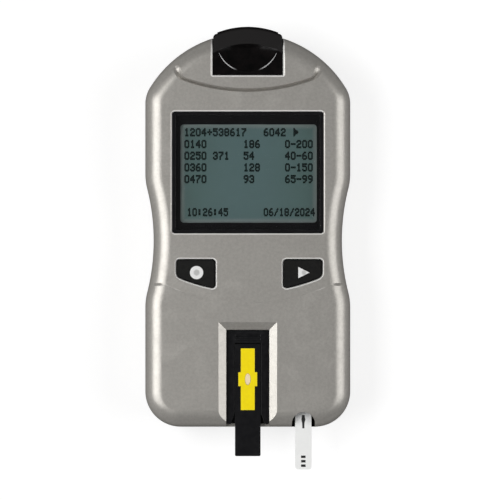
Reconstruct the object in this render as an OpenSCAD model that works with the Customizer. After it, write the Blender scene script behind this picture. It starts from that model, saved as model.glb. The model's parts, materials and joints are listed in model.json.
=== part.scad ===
// Hand-held cholesterol analyzer, lying on its back with its screen up.
// X points to the right of the case, Y to its top end, Z out of its screen, in millimetres.
// Z = 0 is the surface it lies on. X = 0, Y = 0 is the middle of everything that touches or overhangs it.

/* [Case] */
// Width of the case
case_w = 74; // [72:1:90]
// Length of the case
case_h = 142.2; // [136:0.2:175]
// Radius of the two bottom corners
corner_r = 12.8; // [10.5:0.1:16]
// Radius of the two shoulders
shoulder_r = 10.8; // [9.5:0.1:14]
// How much the radius of the arched top is over half the width
top_bulge = 4.4; // [3:0.2:8]
// How far each side is drawn in at the waist
waist_in = 3; // [1:0.2:3.2]
// Radius of the hollow at the waist
waist_r = 76.3; // [65:0.1:90]
// Radius that blends the waist into the sides
waist_blend_r = 21.6; // [16:0.1:26]
// Waist below the middle of the case
waist_down = 3.9; // [0:0.1:8]
// Rounding of the front edge
front_edge_r = 6.5; // [5:0.1:7.5]
// Rounding of the rear edge
rear_edge_r = 3.5; // [2.5:0.1:3.5]
// Wall of both shells
wall = 2; // [1.6:0.1:2.2]
// Height of the seam between the shells
seam_z = 12; // [9:0.1:14]
// Height of the lip that locates the shells
lip_h = 1.2; // [0.8:0.1:2]
// Width of the curved grooves in the front
groove_w = 1.5; // [1:0.1:2]
// Depth of the curved grooves
groove_d = 0.6; // [0.3:0.1:0.9]
// Upper groove below the top of the case, on the centre line
upper_groove_down = 21; // [18.5:0.1:22.5]
// Radius of the upper groove
upper_groove_r = 68; // [55:1:90]
// Half the width of the upper groove between its upturned ends
upper_groove_half = 23.5; // [20:0.1:25]
// Lower groove above the bottom of the case, on the centre line
lower_groove_up = 44.7; // [42:0.1:46]
// Radius of the lower groove
lower_groove_r = 70; // [60:1:90]
// Half the width of the curved part of the lower groove
lower_groove_half = 29.5; // [26:0.1:30]

/* [Display] */
// Width of the window opening
window_w = 54.3; // [45.2:0.1:56]
// Height of the window opening
window_h = 43.7; // [42:0.1:46]
// Corner radius of the window opening
window_r = 1; // [0.5:0.1:2]
// Top edge of the window below the top of the case
window_down = 28.7; // [27:0.1:31]
// Border of the trim ring round the clear window
trim_border = 1.3; // [1:0.1:1.6]
// Trim ring below the front face
trim_sunk = 0.35; // [0.2:0.05:0.8]
// Clear window below the front face
window_sunk = 0.7; // [0.5:0.05:1]
// Thickness of the clear window
window_t = 1.5; // [1:0.1:1.6]
// Border of the gasket at the left and right of the part of the panel that shows
gasket_side = 1.15; // [0.8:0.05:1.6]
// Border of the gasket above and below the part of the panel that shows
gasket_end = 2.6; // [2:0.1:3.4]
// Thickness of the gasket behind the window
gasket_t = 0.3; // [0.2:0.05:0.4]
// Thickness of the display panel
panel_t = 1.4; // [1:0.1:1.6]
// Thickness of the light guide behind the panel
guide_t = 0.75; // [0.6:0.05:0.9]

/* [Keys] */
// Width of each key
key_w = 13.5; // [11:0.1:15]
// Height of a key along its inner edge
key_inner_h = 10.2; // [9:0.1:11]
// Radius of the lower edge of the keys, round the centre line
key_edge_r = 65.8; // [50:0.1:90]
// Distance between the inner edges of the two keys
key_gap = 24.9; // [23.6:0.1:27]
// How far the pair of keys sits to the right of the centre line
key_shift = 0.55; // [-1:0.05:1]
// Top edge of the keys below the window
key_down = 9.5; // [7:0.1:11]
// Corner radius of the keys
key_r = 0.9; // [0.6:0.1:2]
// Radius of the outer lower corner of the keys
key_outer_r = 2.2; // [1:0.1:2.6]
// How far the keys stand out of the front
key_proud = 0.5; // [0.2:0.1:1]
// Diameter of the dot on the left key
dot_d = 4.8; // [3:0.1:5.4]
// Width and height of the triangle on the right key
triangle_size = 4.1; // [3:0.1:5]

/* [Code chip] */
// Width of the code chip
chip_w = 24.9; // [22:0.1:26]
// Thickness of the code chip
chip_t = 8; // [6.5:0.1:8.4]
// Length of the chip's case
chip_l = 17.2; // [15:0.1:18]
// How far the chip stands out past the top of the case
chip_proud = 1.9; // [1:0.1:4]
// Chip's front below the front of the case
chip_sunk = 0.5; // [0.2:0.1:1]
// Radius of the chip's arched end
chip_arc_r = 30.5; // [26:0.1:36]
// Length of the chip's board that shows below its case
chip_board_out = 8.6; // [7:0.1:9]

/* [Strips] */
// Width of the strip holder's place between the chamfers
channel_w = 15.5; // [14.5:0.1:18.6]
// Width of the bright chamfers round the channel
channel_bevel = 2.75; // [2:0.05:3]
// Depth of those chamfers
channel_bevel_d = 1.6; // [1.2:0.1:2.2]
// Length of the channel from the bottom of the case to its upper chamfer
channel_l = 37.9; // [36:0.1:39]
// Top of the strip holder below the chamfers
holder_sunk = 1.25; // [0.6:0.05:1.3]
// Thickness of the strip holder
holder_t = 3; // [2.6:0.1:3.2]
// Width of the test strip
strip_w = 9.2; // [8:0.1:10]
// Thickness of the test strip
strip_t = 1.8; // [1.4:0.1:1.9]
// Length of the test strip
strip_l = 40.4; // [36:0.1:44]
// How far the test strip stands out of the case
strip_out = 10.4; // [8:0.1:14]
// Width of the yellow cover
cover_w = 5; // [4:0.1:6]
// Length of the yellow cover
cover_l = 22.2; // [18:0.1:24]
// Width of the cover round the pad
cover_wide = 6.8; // [5.5:0.1:7.5]
// Sensor strip to the right of the centre line
sensor_x = 20; // [19.5:0.1:21.4]
// Width of the sensor strip
sensor_w = 5.9; // [5:0.1:6.5]
// Thickness of the sensor strip
sensor_t = 0.5; // [0.3:0.05:0.6]
// How far the sensor strip stands out of the case
sensor_out = 15.2; // [14:0.1:18]
// Length of the sensor strip
sensor_l = 29; // [27.5:0.1:30]
// Width of the arched notch over the sensor strip
notch_w = 7.6; // [7.2:0.1:8.4]
// Length of the arched notch
notch_l = 5.2; // [4.4:0.1:6]

/* [Power] */
// Diameter of a cell
cell_d = 14.5; // [14:0.1:17.4]
// Length of a cell with its button
cell_l = 50.5; // [49:0.1:50.5]
// Gap between two cells
cell_gap = 0.4; // [0.3:0.1:0.6]
// Length of a cell spring with the cell in place
spring_l = 4; // [3.4:0.1:4.4]
// Thickness of the contact plates
contact_t = 0.4; // [0.3:0.05:0.5]
// Middle of the row of cells above the middle of the case
bay_up = 14; // [12:0.5:15]
// Wall of the cell bay
bay_wall = 1.2; // [1:0.1:1.4]
// Thickness of the battery door
door_t = 1.6; // [1.4:0.1:1.8]

/* [Boards and optics] */
// Room between the cell bay and the main board, which also sets the thickness of the case
board_room = 0.4; // [0.4:0.1:6]
// Thickness of the main board
board_t = 1.6; // [1:0.1:1.6]
// Radius of the case screws
case_screw_r = 1.1; // [0.9:0.05:1.3]
// Radius of the board screws
board_screw_r = 0.8; // [0.7:0.05:0.9]
// Width of the optics block
optics_w = 19; // [18:0.1:20]
// Length of the optics block
optics_l = 20; // [18:0.1:21]
// Height of the optics block
optics_h = 12.2; // [11:0.1:12.4]
// Angle of the lamps from upright
lamp_angle = 25; // [22:1:26]
// Distance between two reading places along the strip
station_pitch = 5; // [4.4:0.1:5.4]

/* [Fits] */
// Clearance each side of pieces that slide
slide_gap = 0.15; // [0.1:0.01:0.2]
// Clearance round the keys
key_clear = 0.2; // [0.15:0.01:0.3]
// Clearance round a screw in its thread
thread_gap = 0.05; // [0.02:0.01:0.08]
// Clearance round a screw and its head elsewhere
screw_room = 0.2; // [0.1:0.05:0.4]
// Gap at the closed end of whatever slides
end_gap = 0.3; // [0.2:0.05:0.4]
// Gap under pieces that lie on each other
lay_gap = 0.05; // [0.02:0.01:0.1]
// Gap round the trim ring, the window and the label
trim_gap = 0.1; // [0.05:0.01:0.2]
// Gap round the battery door
door_gap = 0.3; // [0.2:0.05:0.5]

/* [Motion] */
// How far the moving pieces stand from rest at 0 to their limits at 1
opened = 0; // [0:0.05:1]
// Travel of the keys
key_travel = 0.7; // [0.4:0.1:0.8]
// How far the code chip pulls out
chip_travel = 22; // [15:1:24]
// How far the strip holder slides out
holder_travel = 30; // [20:1:30]
// How far the test strip pulls out of its holder
strip_travel = 28; // [20:1:28]
// How far the sensor strip pulls out
sensor_travel = 13; // [10:1:13]
// How far the battery door slides to unlatch
door_travel = 5; // [4:0.1:5]

/* [Hidden] */
$fn = 48;

// How far a cut runs past the face it opens
over = 1;
// How far two shapes of one piece run into each other
weld = 0.1;

// Heights of everything that is stacked between the rear and the front face
door_sunk = 0.2;
door_top = door_sunk + door_t;
cell_room = 0.4;
cell_z = door_top + cell_room + cell_d / 2;
bay_head = 0.3;
bay_top = cell_z + cell_d / 2 + bay_head;
bay_roof = bay_top + bay_wall;
board_back = bay_roof + board_room;
board_top = board_back + board_t;
panel_back = board_top + guide_t;
panel_top = panel_back + panel_t;
ledge_t = 0.5;
ledge_back = panel_top + lay_gap;
gasket_back = ledge_back + ledge_t;
lens_back = gasket_back + gasket_t;
case_t = lens_back + window_t + window_sunk;
face_back = case_t - wall;

// Outline of the case
half_w = case_w / 2;
half_h = case_h / 2;
waist_y = -waist_down;
top_r = half_w + top_bulge;
top_cy = half_h - top_r;
shoulder_turn = acos((half_w - shoulder_r) / (top_r - shoulder_r));
shoulder_cy = top_cy + (top_r - shoulder_r) * sin(shoulder_turn);
waist_turn = acos((waist_r + waist_blend_r - waist_in) / (waist_r + waist_blend_r));
waist_reach = (waist_r + waist_blend_r) * sin(waist_turn);
waist_cx = half_w - waist_in + waist_r;

// The middle of the whole length, with the chip and the strips in place
middle_y = (chip_proud - sensor_out) / 2;

// Window and display
window_y = half_h - window_down - window_h / 2;
lens_w = window_w - 2 * trim_border;
lens_h = window_h - 2 * trim_border;
lens_r = 0.4;
view_w = lens_w - 2 * gasket_side;
view_h = lens_h - 2 * gasket_end;
view_r = 1.2;
ledge_in = 0.5;
trim_flange = 0.8;
panel_w = view_w + 3.6;
panel_h = view_h + 4.4;
panel_r = 0.3;
frame_wall = 1.4;
frame_room = 0.15;
frame_w = panel_w + 2 * (frame_room + frame_wall);
frame_h = panel_h + 2 * (frame_room + frame_wall);
connector_w = 1.8;
connector_in = 0.4;
guide_in = 0.5;

// Keys
key_top_y = window_y - window_h / 2 - key_down;
key_x = key_gap / 2 + key_w / 2;
key_mark_y = -4.6;
dot_x = -0.3;
triangle_x = 0.4;
mark_t = 0.3;
mark_gap = 0.02;
flange_out = 0.9;
flange_t = 0.9;
flange_top = face_back - lay_gap;
mat_t = 0.5;
mat_h = 11;
dome_r = 3.6;
dome_wall = 0.6;
dome_y = -5;

// Code chip, its port and its socket
chip_end_y = half_h + chip_proud;
chip_base_y = chip_end_y - chip_l;
chip_front = case_t - chip_sunk;
chip_back = chip_front - chip_t;
chip_arc_cy = chip_end_y - chip_arc_r;
chip_r = 1.5;
chip_side_end_y = chip_end_y - 4;
band_l = 6.3;
band_drop = 2.4;
scoop_r = 23.2;
scoop_d = 3;
scoop_y = chip_base_y + 12.2;
scoop_edge_r = 31.3;
port_wall = 1.5;
port_y = chip_base_y - end_gap;
port_floor = chip_back - slide_gap;
chip_board_t = 1.2;
chip_board_w = 20;
chip_board_in = 3.4;
chip_board_z = [board_top + 1.15, board_top + 1.15 + chip_board_t];
chip_board_y = chip_base_y - chip_board_out;
contact_pad_t = 0.05;
contact_pad_w = 1.2;
contact_pad_l = 4.6;
pad_pitch = 2.2;
pad_count = 8;
pin_w = 0.7;
pin_t = 0.2;
pin_l = 4.4;
pin_lean = 2;
socket_y = [chip_board_y - 1.2, port_y - port_wall - end_gap];
socket_wall = 2;
socket_h = 3;

// Strip channel and holder
channel_y = -half_h + channel_l - channel_bevel;
channel_half = channel_w / 2;
holder_top = case_t - channel_bevel_d - holder_sunk;
holder_back = holder_top - holder_t;
channel_floor = holder_back - lay_gap;
floor_t = 1.8;
floor_back = channel_floor - floor_t;
holder_y = [-half_h + 1.8, channel_y - end_gap];
block_half = channel_half + channel_bevel + 0.4;
block_y = channel_y + channel_bevel + 0.2;
mouth_l = 3.4;
mouth_flare = 1.7;
light_slot_w = 8;
light_slot_l = 15;

// Test strip, its cover and its pads
strip_end_y = -half_h - strip_out;
strip_y = strip_end_y + strip_l;
strip_back = holder_back + 0.95;
strip_top = strip_back + strip_t;
strip_r = 0.5;
cover_t = 0.35;
cover_y = [strip_y - 1.6 - cover_l, strip_y - 1.6];
cover_wide_l = 5;
cover_wide_y = cover_y[1] - 8.6 - cover_wide_l / 2;
pad_r = 1;
pad_stretch = 2;
pad_gap = 0.05;
pad_sunk = 0.3;
pad_t = 0.5;
reading_w = 4;
reading_l = 3;
reading_t = 0.28;

// Optics under the channel
optics_y = cover_wide_y + 0.4;
optics_back = floor_back - optics_h;
glass_t = 1;
glass_w = 10;
glass_l = 17;
lamp_r = 1.5;
lamp_near = 9;
lamp_l = 4.5;
beam_r = 1;
sight_r = 1.3;
optics_board_t = 1.2;
optics_board_tail = 4;
ear_r = 2.3;
ear_t = 3;
ear_back = floor_back - ear_t;
ear_x = block_half - 1.5;
optics_hole_l = 5;
light_sensor_w = 3;
light_sensor_t = 1.1;
light_sensor_room = 0.15;
flex_t = 0.25;
flex_w = 8;

// Sensor strip, its port and its socket
sensor_end_y = -half_h - sensor_out;
sensor_y = sensor_end_y + sensor_l;
sensor_z = [board_top + 1.2, board_top + 1.2 + sensor_t];
sensor_r = 1.1;
slot_z = [sensor_z[0] - weld, sensor_z[1] + slide_gap];
slot_w = sensor_w + 2 * slide_gap;
notch_floor = sensor_z[0] - 0.5;
notch_y = -half_h + notch_l;
sensor_port_y = notch_y + 0.9;
sensor_socket_y = [sensor_port_y + end_gap, sensor_y + 1.4];
sensor_socket_wall = 2;
sensor_pin_pitch = 1.7;
sensor_pin_w = 0.6;
bar_w = 1.6;
bar_l = 0.9;
bar_pitch = 1.6;
ink_t = 0.03;

// Cells, bay and door
cell_pitch = cell_d + cell_gap;
cell_button_l = 1;
cell_button_r = 2.75;
bay_y = bay_up;
bay_x = (cell_l + spring_l) / 2 + contact_t;
bay_half_y = (3 * cell_pitch + cell_d) / 2 + bay_head;
ledge_z = door_top + weld;
ledge_in_x = 0.4;
door_x = bay_x + bay_wall + ledge_in_x;
door_half_y = bay_half_y + bay_wall + door_gap;
recess_y = [bay_y - door_half_y - door_gap - door_travel, bay_y + door_half_y + door_gap];
slab_top = ledge_z + 2.5;
slab_out = 1.2;
hook_l = 4;
hook_t = 0.9;
hook_lip = 1;
hook_z = [ledge_z + 0.85, ledge_z + 1.7];
hook_ys = [bay_half_y - 8, 0, -bay_half_y + 10];
grip_count = 6;
grip_pitch = 2;
grip_w = 24;
contact_h = cell_d - 3.5;
contact_reach = 5;
tab_w = 2.8;
tab_room = 0.2;
spring_r = 4.6;
spring_tip_r = 3.2;
spring_turns = 3;
wire_r = 0.35;

// Bosses and screws
boss_r = 3;
head_r = 2.3;
head_t = 1.8;
head_seat = 3.5;
drive_l = 2.8;
drive_w = 0.6;
drive_d = 1;
screw_tip = 18;
case_screw_xy = [[22, half_h - 14.6], [half_w - 7.5, -half_h + 15.1]];
post_r = 2.1;
board_head_r = 1.7;
board_head_t = 1.2;
board_head_gap = 0.3;
bay_to_screw = bay_half_y + bay_wall + board_head_r + board_head_gap;
board_screw_xy = [[15.6, max(half_h - 21.4, bay_y + bay_to_screw)],
    [27, min(block_y + 8.5, bay_y - bay_to_screw)]];

// Main board
board_half = bay_x + bay_wall;
board_neck_half = 18;
board_neck_y = max(bay_y + bay_half_y, window_y + frame_h / 2) + 1.8;
board_leg_half = sensor_x + 5.6;
board_leg_in = block_half + 0.4;
board_leg_y = block_y + 4.5;
board_end_y = sensor_socket_y[0];

// Label
label_w = 46;
label_h = 28;
label_r = 2;
label_t = 0.2;
label_sunk = 0.3;
label_y = -half_h + 27;

// Puts a piece that is placed from the middle of the case into the frame of the whole object
module seated() {
    translate([0, -middle_y, 0]) children();
}

// The same, for a piece that moves by a share of its travel along Y and Z
module drawn(y, z = 0) {
    seated() translate([0, opened * y, opened * z]) children();
}

// Low and high end of a stretch about its middle
function span(middle, length) = [middle - length / 2, middle + length / 2];

// A box between low and high ends along X, Y and Z
module block(x, y, z) {
    translate([x[0], y[0], z[0]]) cube([x[1] - x[0], y[1] - y[0], z[1] - z[0]]);
}

// The same piece on the left and on the right
module both_sides() {
    children();
    mirror([1, 0, 0]) children();
}

// The same piece, or its mirror image where the side is -1
module on_side(side) {
    mirror([side < 0 ? 1 : 0, 0, 0]) children();
}

// A rectangle with true round corners
module rounded(w, h, r) {
    square([w - 2 * r, h], center = true);
    square([w, h - 2 * r], center = true);
    for (x = [-1, 1], y = [-1, 1]) {
        translate([x * (w / 2 - r), y * (h / 2 - r)]) circle(r);
    }
}

// A plate with round corners between two heights
module plate(w, h, r, z) {
    translate([0, 0, z[0]]) linear_extrude(z[1] - z[0]) rounded(w, h, r);
}

// Points on an arc, with or without its last one
function arc(x, y, r, from, to, steps, last = 1) =
    [for (i = [0 : steps - 1 + last]) let (a = from + (to - from) * i / steps)
        [x + r * cos(a), y + r * sin(a)]];

// Right half of the outline from the bottom to the top, drawn in by d
function half_outline(d) = concat(
    arc(half_w - corner_r, -half_h + corner_r, corner_r - d, -90, 0, 8),
    arc(half_w - waist_blend_r, waist_y - waist_reach, waist_blend_r - d, 0, waist_turn, 3, 0),
    arc(waist_cx, waist_y, waist_r + d, 180 + waist_turn, 180 - waist_turn, 6, 0),
    arc(half_w - waist_blend_r, waist_y + waist_reach, waist_blend_r - d, -waist_turn, 0, 3),
    arc(half_w - shoulder_r, shoulder_cy, shoulder_r - d, 0, shoulder_turn, 5, 0),
    arc(0, top_cy, top_r - d, shoulder_turn, 90, 9));

// The whole outline, anticlockwise
function outline(d) = let (right = half_outline(d))
    concat(right, [for (i = [len(right) - 2 : -1 : 0]) [-right[i][0], right[i][1]]]);

// A solid whose outline is drawn in by levels[i][0] at the height levels[i][1]
module loft(levels) {
    count = len(outline(0));
    rows = len(levels);
    low = rows * count;
    high = low + 1;
    points = concat(
        [for (level = levels) for (p = outline(level[0])) [p[0], p[1], level[1]]],
        [[0, 0, levels[0][1]], [0, 0, levels[rows - 1][1]]]);
    next = [for (i = [0 : count - 1]) (i + 1) % count];
    faces = concat(
        [for (i = [0 : count - 1]) [low, i, next[i]]],
        [for (k = [0 : rows - 2]) for (i = [0 : count - 1]) let (a = k * count + i, b = k * count + next[i])
            [a, a + count, b + count, b]],
        [for (i = [0 : count - 1]) let (top = (rows - 1) * count) [high, top + next[i], top + i]]);
    polyhedron(points, faces);
}

// Levels of a rounded front edge of radius r under the height top, drawn in by d
function front_levels(d, r, top, steps) =
    [for (i = [0 : steps]) let (a = 90 * i / steps) [d + r * (1 - cos(a)), top - r + r * sin(a)]];

// Levels of a rounded rear edge of radius r over the height bottom, drawn in by d
function rear_levels(d, r, bottom, steps) =
    [for (i = [0 : steps]) let (a = 90 * i / steps) [d + r * (1 - sin(a)), bottom + r * (1 - cos(a))]];

module front_outside(d = 0) {
    loft(concat([[d, seam_z]], front_levels(d, front_edge_r - d, case_t - d, 8)));
}

module front_inside() {
    loft(concat([[wall, seam_z - over]], front_levels(wall, front_edge_r - wall, face_back, 5)));
}

module rear_outside() {
    loft(concat(rear_levels(0, rear_edge_r, 0, 6), [[0, seam_z]]));
}

module rear_inside() {
    loft(concat(rear_levels(wall, rear_edge_r - wall, wall, 4), [[wall, seam_z + lip_h + over]]));
}

// Centre line of a groove that is an arc about the centre line of the case, from its middle to its right
function groove_arc(y, r, half) =
    [for (i = [0 : 8]) let (x = half * i / 8) [x, y + r - sqrt(r * r - x * x)]];

// The upper groove turns up at its end
function upper_groove_path() = let (
    path = groove_arc(half_h - upper_groove_down, upper_groove_r, upper_groove_half), corner = path[8])
    concat(path, [corner + [0.9, 1.3], corner + [2.2, 4.7]]);

// The lower groove runs straight on to the side
function lower_groove_path() = let (
    path = groove_arc(-half_h + lower_groove_up, lower_groove_r, lower_groove_half), corner = path[8])
    concat(path, [corner + [1.5, 0.3], [half_w - 3.4, corner[1] + 0.3]]);

// A band of even width along a path, as an upright wall that runs through the front
module groove_band(path) {
    last = len(path) - 1;
    low = case_t - front_edge_r - over;
    function side(i) = let (run = path[min(i + 1, last)] - path[max(i - 1, 0)])
        [-run[1], run[0]] / norm(run) * groove_w / 2;
    band = concat([for (i = [0 : last]) path[i] + side(i)], [for (i = [last : -1 : 0]) path[i] - side(i)]);
    translate([0, 0, low]) linear_extrude(case_t + over - low) {
        polygon(band);
        mirror([1, 0]) polygon(band);
    }
}

// Key outline with corners of radius r; its top and inner edges lie a further spare away
module key_blank(r, spare) {
    middle_up = sqrt(pow(key_edge_r, 2) - pow(key_gap / 2, 2)) - key_inner_h;
    offset(r = r) offset(delta = -r) polygon(concat(
        [[key_w / 2, spare], [-key_w / 2 - spare, spare]],
        [for (i = [0 : 8]) let (x = -key_w / 2 - spare + (key_w + spare) * i / 8)
            [x, middle_up - sqrt(pow(key_edge_r, 2) - pow(x + key_x, 2))]]));
}

// Shape of a key seen from the front, grown all round, with its inner edge on the left
module key_shape(grow = 0) {
    offset(r = grow) intersection() {
        key_blank(key_r, 0);
        key_blank(key_outer_r, 2 * key_outer_r);
    }
}

// Puts a piece at the right key, or at the left one, mirrored
module at_key(side) {
    translate([key_shift, key_top_y, 0]) on_side(side) translate([key_x, 0, 0]) children();
}

// The room for the strip holder with the chamfers round it
module channel_room() {
    bottom = case_t - channel_bevel_d;
    rise = case_t + over;
    reach = channel_bevel * (rise - bottom) / channel_bevel_d;
    block(span(0, channel_w), [-half_h - over, channel_y], [channel_floor, rise]);
    both_sides() translate([0, channel_y, 0]) rotate([90, 0, 0]) linear_extrude(channel_y + half_h + over)
        polygon([[0, bottom], [channel_half, bottom], [channel_half + reach, rise], [0, rise]]);
    intersection() {
        translate([-half_w, 0, 0]) rotate([90, 0, 90]) linear_extrude(case_w)
            polygon([[channel_y - over, bottom], [channel_y, bottom], [channel_y + reach, rise],
                [channel_y - over, rise]]);
        translate([0, channel_y + reach, 0]) rotate([90, 0, 0]) linear_extrude(reach + over)
            polygon([[-channel_half, bottom], [channel_half, bottom],
                [channel_half + reach, rise], [-channel_half - reach, rise]]);
    }
}

// The arched notch that lets the end of the sensor strip show, and the slot for the strip
module notch_room() {
    translate([sensor_x, 0, notch_floor]) linear_extrude(case_t) {
        translate([-notch_w / 2, -half_h - over]) square([notch_w, notch_l + over - notch_w / 2]);
        translate([0, notch_y - notch_w / 2]) circle(notch_w / 2);
    }
    block(span(sensor_x, slot_w), [-half_h - over, sensor_port_y + over], slot_z);
}

// The port for the code chip, and the slot behind it for the chip's board
module chip_port() {
    block(span(0, chip_w + 2 * slide_gap), [port_y, half_h + over], [port_floor, case_t + over]);
    block(span(0, chip_board_w + 2 * slide_gap), [port_y - port_wall - over, port_y + over],
        [chip_board_z[0] - slide_gap, chip_board_z[1] + slide_gap]);
}

// What is solid inside the front shell: round the channel and the two ports, and the screw bosses
module front_solids() {
    block(span(0, 2 * block_half), [-half_h, block_y], [floor_back, case_t]);
    block(span(sensor_x, notch_w + 2 * port_wall), [-half_h, sensor_port_y],
        [notch_floor - port_wall, case_t]);
    block(span(0, chip_w + 2 * (slide_gap + port_wall)), [port_y - port_wall, half_h],
        [port_floor - port_wall, case_t]);
    both_sides() {
        for (p = case_screw_xy) {
            translate(p) cylinder(r = boss_r, h = case_t);
        }
        for (p = board_screw_xy) {
            translate([p[0], p[1], board_top]) cylinder(r = post_r, h = case_t);
        }
    }
}

// The threaded holes in the front shell
module front_holes() {
    both_sides() {
        for (p = case_screw_xy) {
            translate(p) cylinder(r = case_screw_r + thread_gap, h = screw_tip + over);
        }
        for (p = board_screw_xy) {
            translate(p) cylinder(r = board_screw_r + thread_gap, h = face_back);
        }
        translate([ear_x, optics_y, 0])
            cylinder(r = board_screw_r + thread_gap, h = floor_back + optics_hole_l);
    }
}

module front_case() {
    color("silver") seated() difference() {
        front_outside();
        difference() {
            front_inside();
            front_solids();
        }
        loft([[wall / 2, seam_z - over], [wall / 2, seam_z + lip_h + lay_gap]]);
        translate([0, window_y, 0]) plate(window_w, window_h, window_r, [face_back - over, case_t + over]);
        for (side = [-1, 1]) {
            at_key(side) translate([0, 0, face_back - over])
                linear_extrude(wall + 2 * over) key_shape(key_clear);
        }
        chip_port();
        channel_room();
        block(span(0, light_slot_w), span(optics_y, light_slot_l), [floor_back - over, channel_floor + over]);
        notch_room();
        front_holes();
        difference() {
            union() {
                groove_band(upper_groove_path());
                groove_band(lower_groove_path());
            }
            front_outside(groove_d);
        }
    }
}

// The slot that a door hook slides in, and the opening it drops through once the door is slid
module hook_slot(y) {
    x = [bay_x - over, bay_x + hook_lip + door_gap];
    end = y - hook_l / 2 - door_travel - door_gap;
    block(x, [end, y + hook_l / 2 + door_gap], [hook_z[0] - lay_gap, hook_z[1] + slide_gap]);
    block(x, [end, y + hook_l / 2 - door_travel + door_gap], [ledge_z - over, hook_z[1]]);
}

// The slots above the bay, and in the board, for the tabs of the two end contacts
module tab_slots(z) {
    for (i = [0, 3]) {
        block([bay_x - contact_t - tab_room, bay_x + tab_room / 2],
            span(bay_y + (i - 1.5) * cell_pitch, tab_w + 2 * tab_room), [z[0] - over, z[1] + over]);
    }
}

module rear_case() {
    color("silver") seated() difference() {
        union() {
            difference() {
                union() {
                    rear_outside();
                    loft([[wall / 2 + lay_gap, seam_z - over], [wall / 2 + lay_gap, seam_z + lip_h]]);
                }
                rear_inside();
            }
            block(span(0, 2 * (door_x + slab_out)), [recess_y[0] - slab_out, recess_y[1] + slab_out],
                [wall / 2, slab_top]);
            block(span(0, 2 * (bay_x + bay_wall)), span(bay_y, 2 * (bay_half_y + bay_wall)),
                [wall / 2, bay_roof]);
            both_sides() for (p = case_screw_xy) {
                translate([p[0], p[1], wall / 2]) cylinder(r = boss_r, h = seam_z - wall / 2);
            }
        }
        block(span(0, 2 * bay_x), span(bay_y, 2 * bay_half_y), [-over, bay_top]);
        block(span(0, 2 * (door_x + door_gap)), recess_y, [-over, ledge_z]);
        both_sides() for (y = hook_ys) {
            hook_slot(bay_y + y);
        }
        tab_slots([bay_top, bay_roof]);
        translate([0, label_y, 0]) plate(label_w, label_h, label_r, [-over, label_sunk]);
        both_sides() for (p = case_screw_xy) {
            translate([p[0], p[1], -over]) cylinder(r = case_screw_r + screw_room, h = seam_z + 2 * over);
            translate([p[0], p[1], -over]) cylinder(r = head_r + screw_room, h = head_seat + over);
        }
    }
}

module battery_door() {
    color("silver") drawn(-door_travel) translate([0, bay_y, 0]) difference() {
        union() {
            plate(2 * door_x, 2 * door_half_y, 1, [door_sunk, door_top]);
            arm_x = bay_x - door_gap;
            both_sides() for (y = hook_ys) {
                block([arm_x - hook_t, arm_x], span(y, hook_l), [door_top - weld, hook_z[1]]);
                block([arm_x - weld, bay_x + hook_lip], span(y, hook_l), hook_z);
            }
        }
        for (i = [0 : grip_count - 1]) {
            translate([0, -door_half_y + (i + 2) * grip_pitch, 0])
                plate(grip_w - 2 * i, grip_pitch / 2, grip_pitch / 4 - 0.05, [-over, door_sunk + 0.4]);
        }
    }
}

module case_screws() {
    color("dimgray") seated() both_sides() for (p = case_screw_xy) {
        translate([p[0], p[1], head_seat]) difference() {
            union() {
                translate([0, 0, -head_t]) cylinder(r = head_r, h = head_t);
                cylinder(r = case_screw_r, h = screw_tip - head_seat);
            }
            for (a = [0, 90]) {
                rotate(a) block(span(0, drive_l), span(0, drive_w), [-head_t - over, drive_d - head_t]);
            }
        }
    }
}

module rear_label() {
    color("whitesmoke") seated() translate([0, label_y, 0])
        plate(label_w - 2 * trim_gap, label_h - 2 * trim_gap, label_r - trim_gap,
            [label_sunk - label_t, label_sunk]);
}

module display_trim() {
    color("black") seated() translate([0, window_y, 0]) difference() {
        union() {
            plate(window_w - 2 * trim_gap, window_h - 2 * trim_gap, window_r - trim_gap,
                [ledge_back, case_t - trim_sunk]);
            plate(window_w + 2 * trim_flange, window_h + 2 * trim_flange, window_r, [ledge_back, flange_top]);
        }
        plate(lens_w + 2 * trim_gap, lens_h + 2 * trim_gap, lens_r + trim_gap, [gasket_back, case_t]);
        plate(view_w + 2 * ledge_in, view_h + 2 * ledge_in, view_r, [ledge_back - over, gasket_back + over]);
    }
}

module display_window() {
    color("lightcyan", 0.3) seated() translate([0, window_y, 0])
        plate(lens_w, lens_h, lens_r, [lens_back, lens_back + window_t]);
}

module window_gasket() {
    color("black") seated() translate([0, window_y, 0]) difference() {
        plate(lens_w, lens_h, lens_r, [gasket_back, lens_back]);
        plate(view_w, view_h, view_r, [gasket_back - over, lens_back + over]);
    }
}

module display_panel() {
    color("darkseagreen") seated() translate([0, window_y, 0])
        plate(panel_w, panel_h, panel_r, [panel_back, panel_top]);
}

module light_guide() {
    w = panel_w - 2 * guide_in;
    h = panel_h - 2 * (connector_in + connector_w + guide_in);
    color("ivory") seated() block(span(0, w), span(window_y, h), [board_top, panel_back]);
}

module display_frame() {
    color("dimgray") seated() translate([0, window_y, 0]) difference() {
        plate(frame_w, frame_h, 1, [board_top, panel_top - weld]);
        plate(panel_w + 2 * frame_room, panel_h + 2 * frame_room, panel_r,
            [board_top - over, panel_top + over]);
    }
}

module display_connector() {
    color("hotpink") seated() for (side = [-1, 1]) {
        y = window_y + side * (panel_h / 2 - connector_in - connector_w / 2);
        block(span(0, view_w), span(y, connector_w), [board_top, panel_back]);
    }
}

// A key cap with the flange that keeps it in the case
module key_cap() {
    translate([0, 0, flange_top - flange_t]) {
        linear_extrude(case_t + key_proud - flange_top + flange_t) key_shape();
        linear_extrude(flange_t) key_shape(flange_out);
    }
}

// Where the symbol of a key lies, set into its top
module at_mark(x) {
    translate([x, key_mark_y, case_t + key_proud - mark_t]) children();
}

module dot(h, gap = 0) {
    at_mark(dot_x) cylinder(r = dot_d / 2 - gap, h = h);
}

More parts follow.
